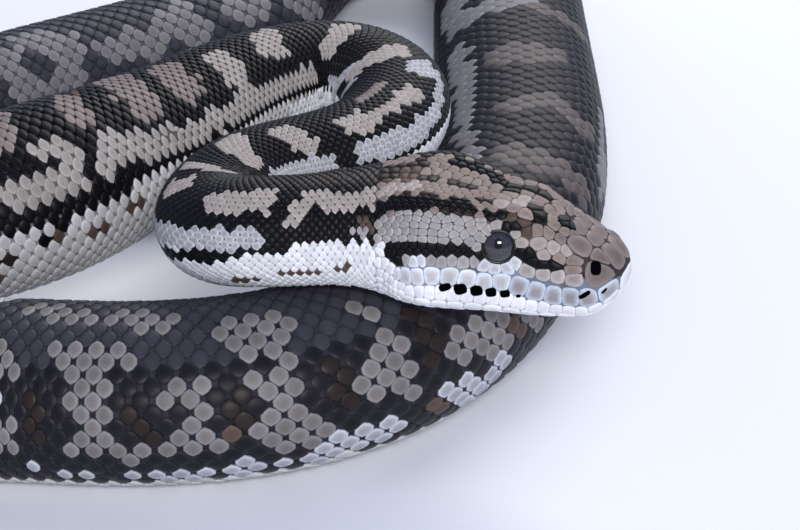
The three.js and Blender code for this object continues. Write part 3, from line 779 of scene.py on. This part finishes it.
# Rows of shields on the right half, which the left half repeats: colour is the markings' own.
# Each row: count, size, height of its dome, and the (station, angle) points that it runs through.
SHIELD_ROWS = {
    "middle of the ring": (3, 1.05, 0.3, [(11.7, 79), (13.0, 77), (13.8, 80)]),
    "internasal": (1, 2.5, 0.5, [(3.2, 76)]),
    "supranasal": (1, 1.7, 0.5, [(4.8, 52)]),
    "nasal": (1, 2.7, 0.5, [(4.6, 17)]),
    "prefrontal": (1, 2.4, 0.5, [(9.6, 56)]),
    "front of the crown": (2, 1.7, 0.5, [(7.6, 84), (10.6, 84)]),
    "ring": (6, 1.1, 0.6, [(11.0, 69), (12.6, 66), (14.6, 67), (15.7, 74), (15.9, 83), (15.7, 89)]),
    "first loreals": (4, 1.4, 0.6, [(20.2, 28), (16.8, 32), (14.0, 34), (11.4, 36)]),
    "upper loreals": (4, 1.0, 0.7, [(19.2, 41), (17.2, 45), (15.2, 49), (12.8, 50)]),
    "lower loreals": (4, 1.1, 0.7, [(18.0, 15), (15.3, 19), (12.6, 22), (10.0, 24)]),
    "loreal stripe": (5, 1.1, 0.5, [(20.0, 10), (17.4, 8), (15.0, 6), (12.8, 8), (9.6, 10)]),
    "over the lip": (5, 0.95, 0.6, [(20.0, 3.5), (17.8, 1.5), (14.8, 1), (12.2, 1), (9.4, 1)]),
    "upper labials": (13, 1.5, 0.45, [(2.6, -19), (9.0, -15), (14.0, -11.5), (21.0, -4.5),
                                      (30, -2.2), (39.0, -3), (43, -5)]),
    "lower labials": (17, 1.3, 0.35, [(2.2, -48), (8, -40), (14, -32), (22, -21), (32, -17),
                                      (42, -17)]),
    "rear labials": (5, 1.1, 0.5, [(44.6, -4), (48, -2), (50.4, -1)]),
    "over the rear lip": (9, 0.95, 0.7, [(28, 3.6), (36, 3.3), (45, 2.4)]),
    "lower stripe": (11, 1.0, 0.5, [(29.2, 8.2), (40, 7.6), (50.4, 6)]),
    "upper stripe": (10, 1.1, 0.5, [(30.2, 12.8), (40, 12.5), (49.6, 11)]),
    "first temporals": (10, 1.15, 0.8, [(29.4, 19), (38, 18.5), (50.6, 17)]),
    "second temporals": (11, 1.15, 0.8, [(28.2, 26), (38, 25), (49.4, 24)]),
    "third temporals": (10, 1.15, 0.8, [(29.2, 33), (38, 32), (50.4, 30)]),
    "fourth temporals": (11, 1.1, 0.8, [(27.6, 39.5), (38, 38), (49.2, 36)]),
    "fifth temporals": (11, 1.05, 0.8, [(25.6, 45), (36, 43.5), (50.2, 42)]),
    "lower dark band": (12, 1.0, 0.7, [(26.6, 51), (36, 49), (49.6, 47.5)]),
    "middle dark band": (12, 1.0, 0.7, [(27.6, 56), (38, 54.5), (50.4, 53)]),
    "upper dark band": (12, 1.0, 0.7, [(26.8, 61), (38, 60), (49.6, 58.5)]),
    "first crown row": (12, 1.0, 0.8, [(28, 66.5), (38, 65.5), (50.4, 64)]),
    "second crown row": (12, 1.0, 0.8, [(27.6, 71.5), (38, 71), (49.6, 69.5)]),
    "third crown row": (12, 1.0, 0.8, [(28.6, 77), (38, 76.5), (50.4, 75)]),
    "fourth crown row": (12, 1.0, 0.8, [(27.6, 82), (38, 82), (49.6, 80.5)]),
    "fifth crown row": (12, 1.0, 0.8, [(28.6, 87.2), (38, 87.2), (50.4, 86)]),
    "brow shields": (3, 1.9, 0.6, [(20.6, 63), (23.0, 67), (25.6, 72)]),
    "frontals": (4, 1.7, 0.6, [(17.8, 70), (19.6, 79), (22.4, 79), (25.6, 81)]),
    "middle of the brow": (4, 1.5, 0.6, [(16.9, 87), (19.6, 87), (22.4, 87), (25.2, 88)]),
    "under the brow": (4, 1.1, 0.6, [(20.4, 50), (22.4, 55), (24.6, 56), (26.4, 56)]),
    "bar": (2, 1.1, 0.4, [(21.4, 43), (22.2, 36)]),
    "over the eye": (3, 1.1, 0.6, [(23.6, 44), (24.8, 38), (26.4, 36)]),
    "chin": (12, 1.6, 0.3, [(3.0, -66), (12, -58), (24, -46), (36, -38), (43, -34)]),
    "first throat row": (14, 1.4, 0.3, [(5.0, -76), (16, -72), (30, -62), (44, -50)]),
    "second throat row": (14, 1.4, 0.3, [(8.0, -84), (20, -80), (34, -74), (46, -64)]),
    "third throat row": (12, 1.4, 0.3, [(12, -89), (26, -88), (38, -84), (47, -78)]),
    "jaw corner": (5, 1.1, 0.5, [(44.4, -15), (47, -12), (50.4, -9)]),
    "behind the jaw": (5, 1.1, 0.5, [(44.6, -24), (47.6, -21), (50.2, -18)]),
    "under the jaw": (5, 1.1, 0.5, [(45.4, -36), (47.6, -32), (50.4, -28)]),
    "throat corner": (4, 1.1, 0.4, [(46.4, -48), (48.6, -44), (50.4, -40)]),
    "last throat row": (4, 1.1, 0.4, [(47.6, -66), (48.8, -58), (50.4, -52)]),
}
# Nostrils and heat pits, each drawn as a black oval of painted shade for the dark inside of its
# hollow: station, angle, half length, half height and lean of each oval.
PITS = [
    (5.3, 27, 1.05, 1.45, 0.25), (6.6, -9, 1.35, 0.45, 0.75), (3.2, -10, 0.7, 0.25, 0.8),
    (19.3, -13.3, 0.45, 0.3, 0.2), (21.9, -12.6, 0.95, 0.75, 0.2), (24.6, -12, 1.05, 1.0, 0.2),
    (27.4, -11.2, 1.2, 1.15, 0.2), (30.5, -10.2, 1.25, 1.2, 0.3), (33.6, -8.8, 1.2, 0.8, 0.4),
]
PIT_SIDES = 24
# Rings of a pit: share of its size, and height over the shields.
PIT_RINGS = [(0.25, 0.0), (0.5, 0.0), (0.75, 0.005), (0.92, 0.02), (1.0, 0.05), (1.04, -0.5)]
IRIS_COLOURS = (33, 31, 37), (72, 69, 76)
SHIELD_SIDES = 20
SHIELD_RINGS = (0.35, 0.68, 0.9, 1.0, 1.02)  # the last one goes down into the skin
NEIGHBOURS = 14
CORNER_POWER = 9.0  # the higher, the sharper the corners of a shield
GHOST, EYE_SEED = -1, -2  # in place of a dome: a seed of the body's rows, and the eye itself
EYE_RING = 13
HEAD_STEP = (1.0, 0.22)  # millimetres in a unit of station and in a degree, on the head


def head_tree():
    """Search tree of a fine mesh of the head's outline, for laying the shields on."""
    snout = SNOUT_ROUND * (1 - np.cos(np.linspace(0.02, np.pi / 2, 26)))
    stations = np.concatenate([snout, np.arange(SNOUT_ROUND + 0.4, 60, 0.4)])
    angles = np.linspace(-90, 270, 241)[:-1]
    count = len(angles)
    points = surface(*np.meshgrid(stations, angles, indexing="ij"))
    faces = grid_faces(len(stations), count, closed=True).tolist()
    tip = len(stations) * count
    faces += [[tip, (i + 1) % count, i] for i in range(count)]
    cloud = [tuple(p) for p in points.reshape(-1, 3)] + [tuple(points[0].mean(0))]
    return BVHTree.FromPolygons(cloud, faces)


def lay_on(tree, points):
    """Nearest points of the head's outline to the points given, and the outward normals there."""
    found = [tree.find_nearest(Vector(p)) for p in points.reshape(-1, 3)]
    return tuple(np.array([f[k] for f in found]).reshape(points.shape) for k in range(2))


def along_row(controls, count):
    """Evenly spaced (station, angle) points on the broken line through the controls."""
    c = np.array(controls, float)
    if len(c) == count:
        return c
    run = np.concatenate([[0], np.cumsum(np.linalg.norm(np.diff(c * HEAD_STEP, axis=0), axis=1))])
    at = np.linspace(0, run[-1], count)
    return np.stack([np.interp(at, run, c[:, k]) for k in range(2)], -1)


def eye_frame(angle):
    """Middle of the eyeball, the way it looks, and the way up across it."""
    middle = surface(EYE_STATION, angle)
    outward = surface_normal(np.array(EYE_STATION), np.array(angle))
    socket_radius = EYE_RADIUS + SEAM_GAP
    middle = middle - outward * np.sqrt(socket_radius**2 - EYE_OPENING**2)
    up = unit(np.array([0, 0, 1.0]) - outward * outward[2])
    return middle, outward, up


def head_seeds(rng):
    """Seeds of the shields: place, normal, size, dome, station and angle. Seeds of the first body
    rows and of the eye shape the shields beside them and are left out of the mesh."""
    rows = []
    for count, size, dome, controls in SHIELD_ROWS.values():
        for station, angle in along_row(controls, count):
            jitter = 0 if count < 3 else 0.12 * size
            for facing in (angle, 180 - angle):
                ds, da = rng.normal(0, jitter, 2)
                if facing == angle or angle < 89.9:
                    rows.append((station + ds, facing + 3.2 * da, size, dome))
    rows.append((0.12, -90, 2.6, 0.5))
    rows.append((1.2, -90, 1.8, 0.4))
    seeds = np.array(rows)
    at, angle, length, _ = body_lattice()
    near = at < NAPE + 5
    ghosts = np.stack([at[near], angle[near], 0.62 * length[near], 0 * at[near] + GHOST], -1)
    seeds = np.concatenate([seeds, ghosts])
    place = surface(seeds[:, 0], seeds[:, 1])
    normal = surface_normal(seeds[:, 0], seeds[:, 1])
    extra_place, extra_normal, extra = [], [], []
    for side in (EYE_ANGLE, 180 - EYE_ANGLE):
        middle, outward, up = eye_frame(side)
        across = np.cross(up, outward)
        rim = middle + outward * np.sqrt(EYE_RADIUS**2 - (EYE_OPENING - 0.4) ** 2)
        extra_place.append(rim)
        extra_normal.append(outward)
        extra.append((EYE_STATION, side, EYE_OPENING + 0.45, EYE_SEED))
        for k in range(EYE_RING):
            turn = 2 * np.pi * (k + 0.5) / EYE_RING
            out = across * np.cos(turn) + up * np.sin(turn)
            extra_place.append(rim + out * (EYE_OPENING + 1.0))
            extra_normal.append(unit(outward + 0.2 * out))
            extra.append((EYE_STATION - 1.0 * np.cos(turn) * 4.2 * np.sign(90 - side),
                          side + np.sin(turn) * 20 * np.sign(90 - side), 0.95, 0.6))
    place = np.concatenate([place, extra_place])
    normal = np.concatenate([normal, extra_normal])
    seeds = np.concatenate([seeds, extra])
    return place, normal, seeds


def thin_seeds(place, seeds):
    """Leaves out row seeds that fall within the eye's ring of shields or on another seed."""
    keep = np.ones(len(seeds), bool)
    eyes = np.flatnonzero(seeds[:, 3] == EYE_SEED)
    ring = np.arange(len(seeds)) >= eyes[0]
    for eye in eyes:
        away = np.linalg.norm(place - place[eye], axis=1)
        keep &= (away > EYE_OPENING + 1.75) | ring
    gap = np.linalg.norm(place[:, None] - place[None], axis=-1)
    closer = np.triu(gap < 0.42 * (seeds[:, None, 2] + seeds[None, :, 2]), 1)
    for i, j in zip(*np.nonzero(closer)):
        if keep[i] and keep[j] and not ring[j]:
            keep[j] = False
        elif keep[i] and keep[j]:
            keep[i] = False
    return keep


def shield_reach(place, normal, seeds):
    """Distance from a seed to its shield's edge in each direction: the middle lines to the nearest
    seeds bound it, and a mean of high power rounds its corners."""
    tailward = frame_at(np.clip(seeds[:, 0], 2, 60))[1]
    e1 = unit(tailward - (tailward * normal).sum(1, keepdims=True) * normal)
    e2 = np.cross(normal, e1)
    away = place[None] - place[:, None]
    gap = np.linalg.norm(away, axis=-1) + np.eye(len(place)) * 1e3
    nearest = np.argsort(gap, axis=1)[:, :NEIGHBOURS]
    rows = np.arange(len(place))[:, None]
    gap = gap[rows, nearest]
    away = away[rows, nearest]
    x = (away * e1[:, None]).sum(-1)
    y = (away * e2[:, None]).sum(-1)
    weight = seeds[:, 2] ** 2
    bound = (gap**2 + weight[:, None] - weight[nearest]) / (2 * gap)
    bound = np.maximum(bound, 0.25 * gap)
    turn = np.arange(SHIELD_SIDES) / SHIELD_SIDES * 2 * np.pi
    toward = np.arctan2(y, x)
    facing = np.maximum(np.cos(turn[None, None] - toward[..., None]), 0) / bound[..., None]
    limit = 1 / (2.1 * seeds[:, 2] + 0.3)[:, None]
    reach = ((facing**CORNER_POWER).sum(1) + limit**CORNER_POWER) ** (-1 / CORNER_POWER)
    return reach, turn, e1, e2


def build_head_shields():
    """Each shield: rings of its outline about the seed, laid on the head's surface and lifted by a
    dome; the last ring goes down into the skin."""
    rng = np.random.default_rng(settings().seed + 5)
    tree = head_tree()
    place, normal, seeds = head_seeds(rng)
    keep = thin_seeds(place, seeds)
    place, normal, seeds = place[keep], normal[keep], seeds[keep]
    reach, turn, e1, e2 = shield_reach(place, normal, seeds)
    shown = seeds[:, 3] >= 0
    place, seeds, reach, e1, e2 = (v[shown] for v in (place, seeds, reach, e1, e2))
    reach = reach - settings().shield_gap / MM
    ring = np.array(SHIELD_RINGS)
    r = np.concatenate([np.zeros((len(place), 1)),
                        (ring[None, :, None] * reach[:, None, :]).reshape(len(place), -1)], 1)
    angle = np.concatenate([[0], np.tile(turn, len(ring))])
    share = np.concatenate([[0], np.repeat(ring, SHIELD_SIDES)])
    flat = (place[:, None] + (r * np.cos(angle))[..., None] * e1[:, None]
            + (r * np.sin(angle))[..., None] * e2[:, None])
    laid, out = lay_on(tree, flat)
    depth = coat_depth(seeds[:, 0])[:, None]
    dome = seeds[:, 3][:, None] * np.minimum(0.55 * reach.mean(1)[:, None], 0.75)
    lift = -0.6 * dome * (share**2.4)[None] - 0.02
    is_buried = share >= SHIELD_RINGS[-1]
    lift = np.where(share >= SHIELD_RINGS[-2], lift - 0.05, lift)
    lift = np.where(is_buried, -depth - 0.2, lift)
    chance = rng.uniform(0, 1, len(place))
    points = laid + lift[..., None] * out
    station, around = seeds[:, 0], seeds[:, 1]
    index = marking_index(station, around, rng.normal(0, 0.12, len(place)))
    edge = np.clip((share - 0.5) / 0.45, 0, 1)[None] * np.ones((len(place), 1))
    colours = marking_colours(index[:, None], edge, chance[:, None] * np.ones(edge.shape))
    colours[:, is_buried] = PALETTE[index, 2][:, None]
    patches = bake_patches(station[:, None], around[:, None], (share * np.cos(angle))[None],
                           (share * np.sin(angle))[None], 0.0, NAPE)
    faces = ring_faces(len(place), SHIELD_SIDES, len(ring))
    material = scaly_material("Head shields", 1300.0, 0.4, 0.3, settings().gloss)
    build_pits(tree)
    new_piece("head_shields", points.reshape(-1, 3), faces, material,
              colours.reshape(-1, 3), patches.reshape(-1, 2))


def ring_faces(count, sides, rings):
    """Faces of count shapes, each a middle point and rings of points round it: a fan, quads between
    the rings, and a base inside the skin that closes it."""
    j = np.arange(sides)
    k = (j + 1) % sides
    fan = np.stack([np.zeros(sides, int), 1 + j, 1 + k], -1)
    bands = np.concatenate([
        np.stack([1 + b * sides + j, 1 + (b + 1) * sides + j,
                  1 + (b + 1) * sides + k, 1 + b * sides + k], -1)
        for b in range(rings - 1)
    ])
    base = (1 + (rings - 1) * sides + j)[None, ::-1]
    start = (np.arange(count) * (1 + sides * rings))[:, None, None]
    return [(f[None] + start).reshape(-1, f.shape[1]) for f in (fan, bands, base)]


def pit_frame(station, angle, lean, side):
    """Middle of a pit with its long and short directions, on the right or left."""
    facing = angle if side > 0 else 180 - angle
    normal = surface_normal(np.array(float(station)), np.array(float(facing)))
    tailward = frame_at(np.array(float(station)))[1]
    e1 = unit(tailward - (tailward @ normal) * normal)
    e2 = np.cross(normal, e1) * side
    return (surface(station, facing), np.cos(lean) * e1 + np.sin(lean) * e2,
            np.cos(lean) * e2 - np.sin(lean) * e1)


def build_pits(tree):
    """Each pit: rings of a black oval on the shields, painted shade for the dark inside of the
    hollow, its rim a little proud of its middle; the last ring goes down into the skin."""
    turn = np.arange(PIT_SIDES) / PIT_SIDES * 2 * np.pi
    share, level = np.array(PIT_RINGS).T
    drop = np.concatenate([[0.0], np.repeat(level, PIT_SIDES)])[:, None]
    wide, high = (np.sign(f(turn)) * np.abs(f(turn)) ** 0.65 for f in (np.cos, np.sin))
    points = []
    for station, angle, half_length, half_height, lean in PITS:
        for side in (1, -1):
            middle, e1, e2 = pit_frame(station, angle, lean, side)
            x = share[:, None] * half_length * wide
            y = share[:, None] * half_height * high
            flat = middle + x[..., None] * e1 + side * y[..., None] * e2
            laid, out = lay_on(tree, np.concatenate([middle[None], flat.reshape(-1, 3)]))
            points.append(laid + drop * out)
    # painted shade: matt black ovals with no gloss stand for the shaded hollows of the nostrils and
    # heat pits
    new_piece("pit_and_nostril_shade", np.concatenate(points),
              ring_faces(len(points), PIT_SIDES, len(share)),
              plain_material("Pit", (6, 6, 9), 1.0, 0.0))


# ------------------------------------------------------------------ settings and operators


class PYTHON_PG_coat(bpy.types.PropertyGroup):
    """Sizes of the coat of scales."""

    seed: bpy.props.IntProperty(
        name="Seed", description="Chance behind the small differences between scales", default=7,
        min=0)
    scale_depth: bpy.props.FloatProperty(
        name="Scale depth", description="Thickness of the coat of scales at mid body",
        default=0.00055, min=0.0001, max=0.002, precision=5, unit="LENGTH")
    scale_fit: bpy.props.FloatProperty(
        name="Scale fit", description="Size of a scale over its place in the rows",
        default=0.84, min=0.5, max=1.1, subtype="FACTOR")
    shield_gap: bpy.props.FloatProperty(
        name="Shield gap", description="Half the width of the groove between two head shields",
        default=0.00003, min=0.0, max=0.0005, precision=5, unit="LENGTH")
    gloss: bpy.props.FloatProperty(
        name="Roughness", description="Roughness of the surface of the scales", default=0.42,
        min=0.05, max=1.0, subtype="FACTOR")


class PYTHON_PG_stage(bpy.types.PropertyGroup):
    """Light, floor and camera."""

    sky: bpy.props.FloatProperty(
        name="Sky", description="Strength of the light from all round", default=0.5, min=0.0)
    window: bpy.props.FloatProperty(
        name="Window", description="Power of the large soft light behind the snake", default=5.9,
        min=0.0, unit="POWER")
    fill: bpy.props.FloatProperty(
        name="Fill", description="Power of the soft light in front of the snake", default=7.2,
        min=0.0, unit="POWER")
    camera_distance: bpy.props.FloatProperty(
        name="Camera distance", description="Distance from the camera to what it looks at",
        default=0.52, min=0.1, unit="LENGTH")
    camera_elevation: bpy.props.FloatProperty(
        name="Camera elevation", description="Height of the camera's line of sight",
        default=np.radians(28.0), subtype="ANGLE")


class PYTHON_OT_skin(bpy.types.Operator):
    """Build the skin, one smooth surface from the snout to the tip of the tail"""

    bl_idname = "python.skin"
    bl_label = "Skin"

    def execute(self, context):
        """Skin = surface(station, angle) - coat depth x normal, closed at both ends."""
        snout = SNOUT_ROUND * (1 - np.cos(np.linspace(0.05, np.pi / 2, 14)))
        stations = np.concatenate([
            snout, np.arange(SNOUT_ROUND + 0.8, 60, 0.8), np.arange(60, TAIL_TIP - 0.5, 1.6),
            [TAIL_TIP - 0.2]])
        angles = np.linspace(-90, 270, 97)[:-1]
        s, a = np.meshgrid(stations, angles, indexing="ij")
        depth = coat_depth(s)
        points = surface(s, a) - depth[..., None] * surface_normal(s, a)
        count = len(angles)
        ends = np.stack([points[0].mean(0), points[-1].mean(0)])
        flat = np.concatenate([points.reshape(-1, 3), ends])
        quads = grid_faces(len(stations), count, closed=True)
        tips = end_fans(len(stations), count)
        index = marking_index(s.ravel(), a.ravel(), np.zeros(s.size))
        colours = PALETTE[index, 2]
        colours = np.concatenate([colours, colours[[0, -1]]])
        patches = np.stack([s.ravel() / TAIL_TIP, np.mod(a.ravel() + 90, 360) / 360], -1)
        patches = np.concatenate([patches, [[0, 0.5], [1, 0.5]]])
        material = scaly_material("Skin", 900.0, 0.2, 0.3, 0.6)
        skin = new_piece("skin", flat, [quads, tips], material, colours, patches)
        flesh = [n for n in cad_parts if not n.startswith("eye")]
        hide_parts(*flesh)
        return {"FINISHED"}


class PYTHON_OT_scales(bpy.types.Operator):
    """Build the scales of the back and flanks and the scutes of the belly"""

    bl_idname = "python.scales"
    bl_label = "Body scales"

    def execute(self, context):
        rng = np.random.default_rng(settings().seed + 1)
        at, angle, length, spacing = body_lattice()
        wobble = rng.normal(0, 0.1, len(at))
        chance = rng.uniform(0, 1, len(at))
        bounds = [("neck_skin", 0, NECK_END), ("trunk_skin", NECK_END, VENT),
                  ("tail_skin", VENT, PAST_TAIL)]
        number = 1
        for cad_slot, start, end in bounds:
            members = np.flatnonzero((at >= start) & (at < end))
            for part in np.array_split(members, int(np.ceil(len(members) / SCALES_PER_PIECE))):
                build_body_scales(f"scales_{number:02d}", at[part], angle[part], length[part],
                                  spacing[part], wobble[part], chance[part])
                number += 1
        columns = scale_columns()[::2]
        columns = columns[columns < TAIL_TIP - 4]
        tone = rng.uniform(0, 1, len(columns))
        for cad_slot, start, end in bounds:
            members = (columns >= start) & (columns < end)
            name = "belly_scutes_" + cad_slot.split("_")[0]
            build_belly_scutes(name, columns[members], tone[members])
        return {"FINISHED"}


class PYTHON_OT_shields(bpy.types.Operator):
    """Build the shields and small scales of the head, with black ovals of painted shade for the
    nostrils and heat pits
    """

    bl_idname = "python.shields"
    bl_label = "Head shields"

    def execute(self, context):
        build_head_shields()
        return {"FINISHED"}


def eye_material():
    """Dark grey iris with fine rays round an upright pupil, drawn in the eye's own flat map,
    under a clear glossy surface."""
    material, tree, shader = new_material("Eye")
    place = tree.nodes.new("ShaderNodeUVMap")
    place.uv_map = "EyeMap"
    place = place.outputs["UV"]
    shift = add_node(tree, "VectorMath", {0: place, 1: (0.5, 0.62, 0)}, "SUBTRACT")["Vector"]
    oval = add_node(tree, "VectorMath", {0: shift, 1: (1.25, 0.95, 0)}, "MULTIPLY")["Vector"]
    length = add_node(tree, "VectorMath", {0: oval}, "LENGTH")["Value"]
    pupil = add_node(tree, "MapRange", {"Value": length, "From Min": 0.115, "From Max": 0.15})
    rays = add_node(tree, "TexNoise", {"Vector": place, "Scale": 26.0, "Detail": 5.0})
    iris = tree.nodes.new("ShaderNodeValToRGB")
    for stop, at, colour in zip(iris.color_ramp.elements, (0.35, 0.72), IRIS_COLOURS):
        stop.position = at
        stop.color = (*daylight(colour), 1)
    feed(tree, iris, {"Fac": rays["Fac"]})
    middle = add_node(tree, "VectorMath", {0: place, 1: (0.5, 0.5, 0)}, "DISTANCE")["Value"]
    limb = add_node(tree, "MapRange", {
        "Value": middle, "From Min": 0.39, "From Max": 0.31, "To Min": 0.12})
    both = add_node(tree, "Math", {0: pupil["Result"], 1: limb["Result"]}, "MULTIPLY")[0]
    tint = add_node(tree, "VectorMath", {0: iris.outputs["Color"], "Scale": both}, "SCALE")
    feed(tree, shader, {"Base Color": tint["Vector"], "Roughness": 0.08, "Coat Weight": 0.25,
                        "Coat Roughness": 0.02})
    return material


class PYTHON_OT_eyes(bpy.types.Operator):
    """Build the eyes and the dark rim round each of them"""

    bl_idname = "python.eyes"
    bl_label = "Eyes"

    def execute(self, context):
        """Eye = ball about its middle; rim = ring tube round the opening."""
        glass = eye_material()
        rim_material = plain_material("Eye rim", (14, 15, 20), 0.35)
        for side, angle in (("right", EYE_ANGLE), ("left", 180 - EYE_ANGLE)):
            middle, outward, up = eye_frame(angle)
            across = np.cross(up, outward)
            polar = np.linspace(0, np.pi, 25)[1:-1]
            turn = np.linspace(0, 2 * np.pi, 41)[:-1]
            p, t = np.meshgrid(polar, turn, indexing="ij")
            local = np.stack([np.sin(p) * np.cos(t), np.sin(p) * np.sin(t), np.cos(p)], -1)
            local = np.concatenate([local.reshape(-1, 3), [[0, 0, 1], [0, 0, -1]]])
            axes = np.stack([across, up, outward])
            points = middle + EYE_RADIUS * local @ axes
            quads = grid_faces(len(polar), len(turn), closed=True)
            caps = end_fans(len(polar), len(turn))[:, [0, 2, 1]]
            eye = new_piece(f"eyeball_{side}", points, [quads[:, ::-1], caps], glass)
            layer = eye.data.uv_layers.new(name="EyeMap")
            corner = np.zeros(len(eye.data.loops), np.int32)
            eye.data.loops.foreach_get("vertex_index", corner)
            flat = 0.5 + 0.5 * local[corner][:, :2]
            layer.data.foreach_set("uv", flat.astype(np.float32).ravel())
            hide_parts(f"eye_{side}")
            round_rim = np.linspace(0, 2 * np.pi, 65)[:-1]
            tube = np.linspace(0, 2 * np.pi, 13)[:-1]
            r, q = np.meshgrid(round_rim, tube, indexing="ij")
            rim_radius = EYE_OPENING - 0.12
            level = np.sqrt(EYE_RADIUS**2 - (rim_radius - 0.1) ** 2)
            out = across * np.cos(r)[..., None] + up * np.sin(r)[..., None]
            ring = (middle + out * (rim_radius + 0.3 * np.cos(q))[..., None]
                    + outward * (level + 0.02 + 0.24 * np.sin(q))[..., None])
            new_piece(f"eye_rim_{side}", ring.reshape(-1, 3),
                      [closed_tube(len(round_rim), len(tube))], rim_material)
        return {"FINISHED"}


def closed_tube(rows, columns):
    """Quads of a ring-shaped tube, joined in both directions."""
    i = np.arange(rows)[:, None]
    j = np.arange(columns)[None, :]
    n, k = (i + 1) % rows, (j + 1) % columns
    quad = [i * columns + j, n * columns + j, n * columns + k, i * columns + k]
    return np.stack([np.broadcast_to(q, (rows, columns)) for q in quad], -1).reshape(-1, 4)


LENS = 117.0
CAMERA_TARGET = (59.1, -118.75, 40.0)
FLOOR_HALF = 3.0


class PYTHON_OT_stage(bpy.types.Operator):
    """Set up the floor, the light and the camera"""

    bl_idname = "python.stage"
    bl_label = "Stage"

    def execute(self, context):
        scene = context.scene
        stage = scene.python_stage
        scene.view_settings.view_transform = "Standard"
        mesh = bpy.data.meshes.new("floor")
        corners = ((-1, -1), (1, -1), (1, 1), (-1, 1))
        mesh.from_pydata([(x * FLOOR_HALF, y * FLOOR_HALF, 0) for x, y in corners], [],
                         [(0, 1, 2, 3)])
        mesh.materials.append(plain_material("Floor", (240, 241, 247), 0.6, 0.2))
        floor = bpy.data.objects.new("floor", mesh)
        scene.collection.objects.link(floor)
        world = bpy.data.worlds.new("Daylight")
        scene.world = world
        world.use_nodes = True
        sky = world.node_tree.nodes["Background"]
        sky.inputs["Color"].default_value = (*daylight((205, 220, 255)), 1)
        sky.inputs["Strength"].default_value = stage.sky
        self.area("window", (0.3, 0.6, 0.6), (0, 0, 0.02), 1.0, stage.window, (1.0, 0.98, 0.94))
        self.area("fill", (0.12, -1.0, 0.62), (0.05, -0.1, 0.04), 0.45, stage.fill,
                  (1.0, 0.985, 0.97))
        target = Vector(CAMERA_TARGET) * MM
        slope = stage.camera_elevation
        back = Vector((0, -np.cos(slope), np.sin(slope)))
        lens = bpy.data.cameras.new("camera")
        lens.sensor_width = 36
        lens.lens = LENS
        camera = bpy.data.objects.new("camera", lens)
        camera.location = target + back * stage.camera_distance
        camera.rotation_euler = (np.pi / 2 - slope, 0, 0)
        lens.clip_start = 0.01
        scene.collection.objects.link(camera)
        scene.camera = camera
        return {"FINISHED"}

    def area(self, name, place, aim, size, power, colour):
        light = bpy.data.lights.new(name, "AREA")
        light.shape = "ELLIPSE"
        light.size = size
        light.size_y = 0.55 * size
        light.energy = power
        light.color = colour
        lamp = bpy.data.objects.new(name, light)
        lamp.location = place
        lamp.rotation_euler = (Vector(aim) - Vector(place)).to_track_quat("-Z", "Y").to_euler()
        bpy.context.scene.collection.objects.link(lamp)


class PYTHON_PT_panel(bpy.types.Panel):
    """Buttons and sizes of the coiled python"""

    bl_label = "Coiled python"
    bl_space_type = "VIEW_3D"
    bl_region_type = "UI"
    bl_category = "Python"

    def draw(self, context):
        layout = self.layout
        for group in (context.scene.python_coat, context.scene.python_stage):
            for name in group.__annotations__:
                layout.prop(group, name)
        for operator in OPERATORS:
            layout.operator(operator.bl_idname)


OPERATORS = (PYTHON_OT_stage, PYTHON_OT_skin, PYTHON_OT_scales, PYTHON_OT_shields, PYTHON_OT_eyes)
CLASSES = (PYTHON_PG_coat, PYTHON_PG_stage, *OPERATORS, PYTHON_PT_panel)


def register():
    for cls in CLASSES:
        bpy.utils.register_class(cls)
    bpy.types.Scene.python_coat = bpy.props.PointerProperty(type=PYTHON_PG_coat)
    bpy.types.Scene.python_stage = bpy.props.PointerProperty(type=PYTHON_PG_stage)


def unregister():
    del bpy.types.Scene.python_stage
    del bpy.types.Scene.python_coat
    for cls in reversed(CLASSES):
        bpy.utils.unregister_class(cls)


def main():
    register()
    bpy.ops.python.stage()
    bpy.ops.python.skin()
    bpy.ops.python.scales()
    bpy.ops.python.shields()
    bpy.ops.python.eyes()


if __name__ == "__main__":
    main()
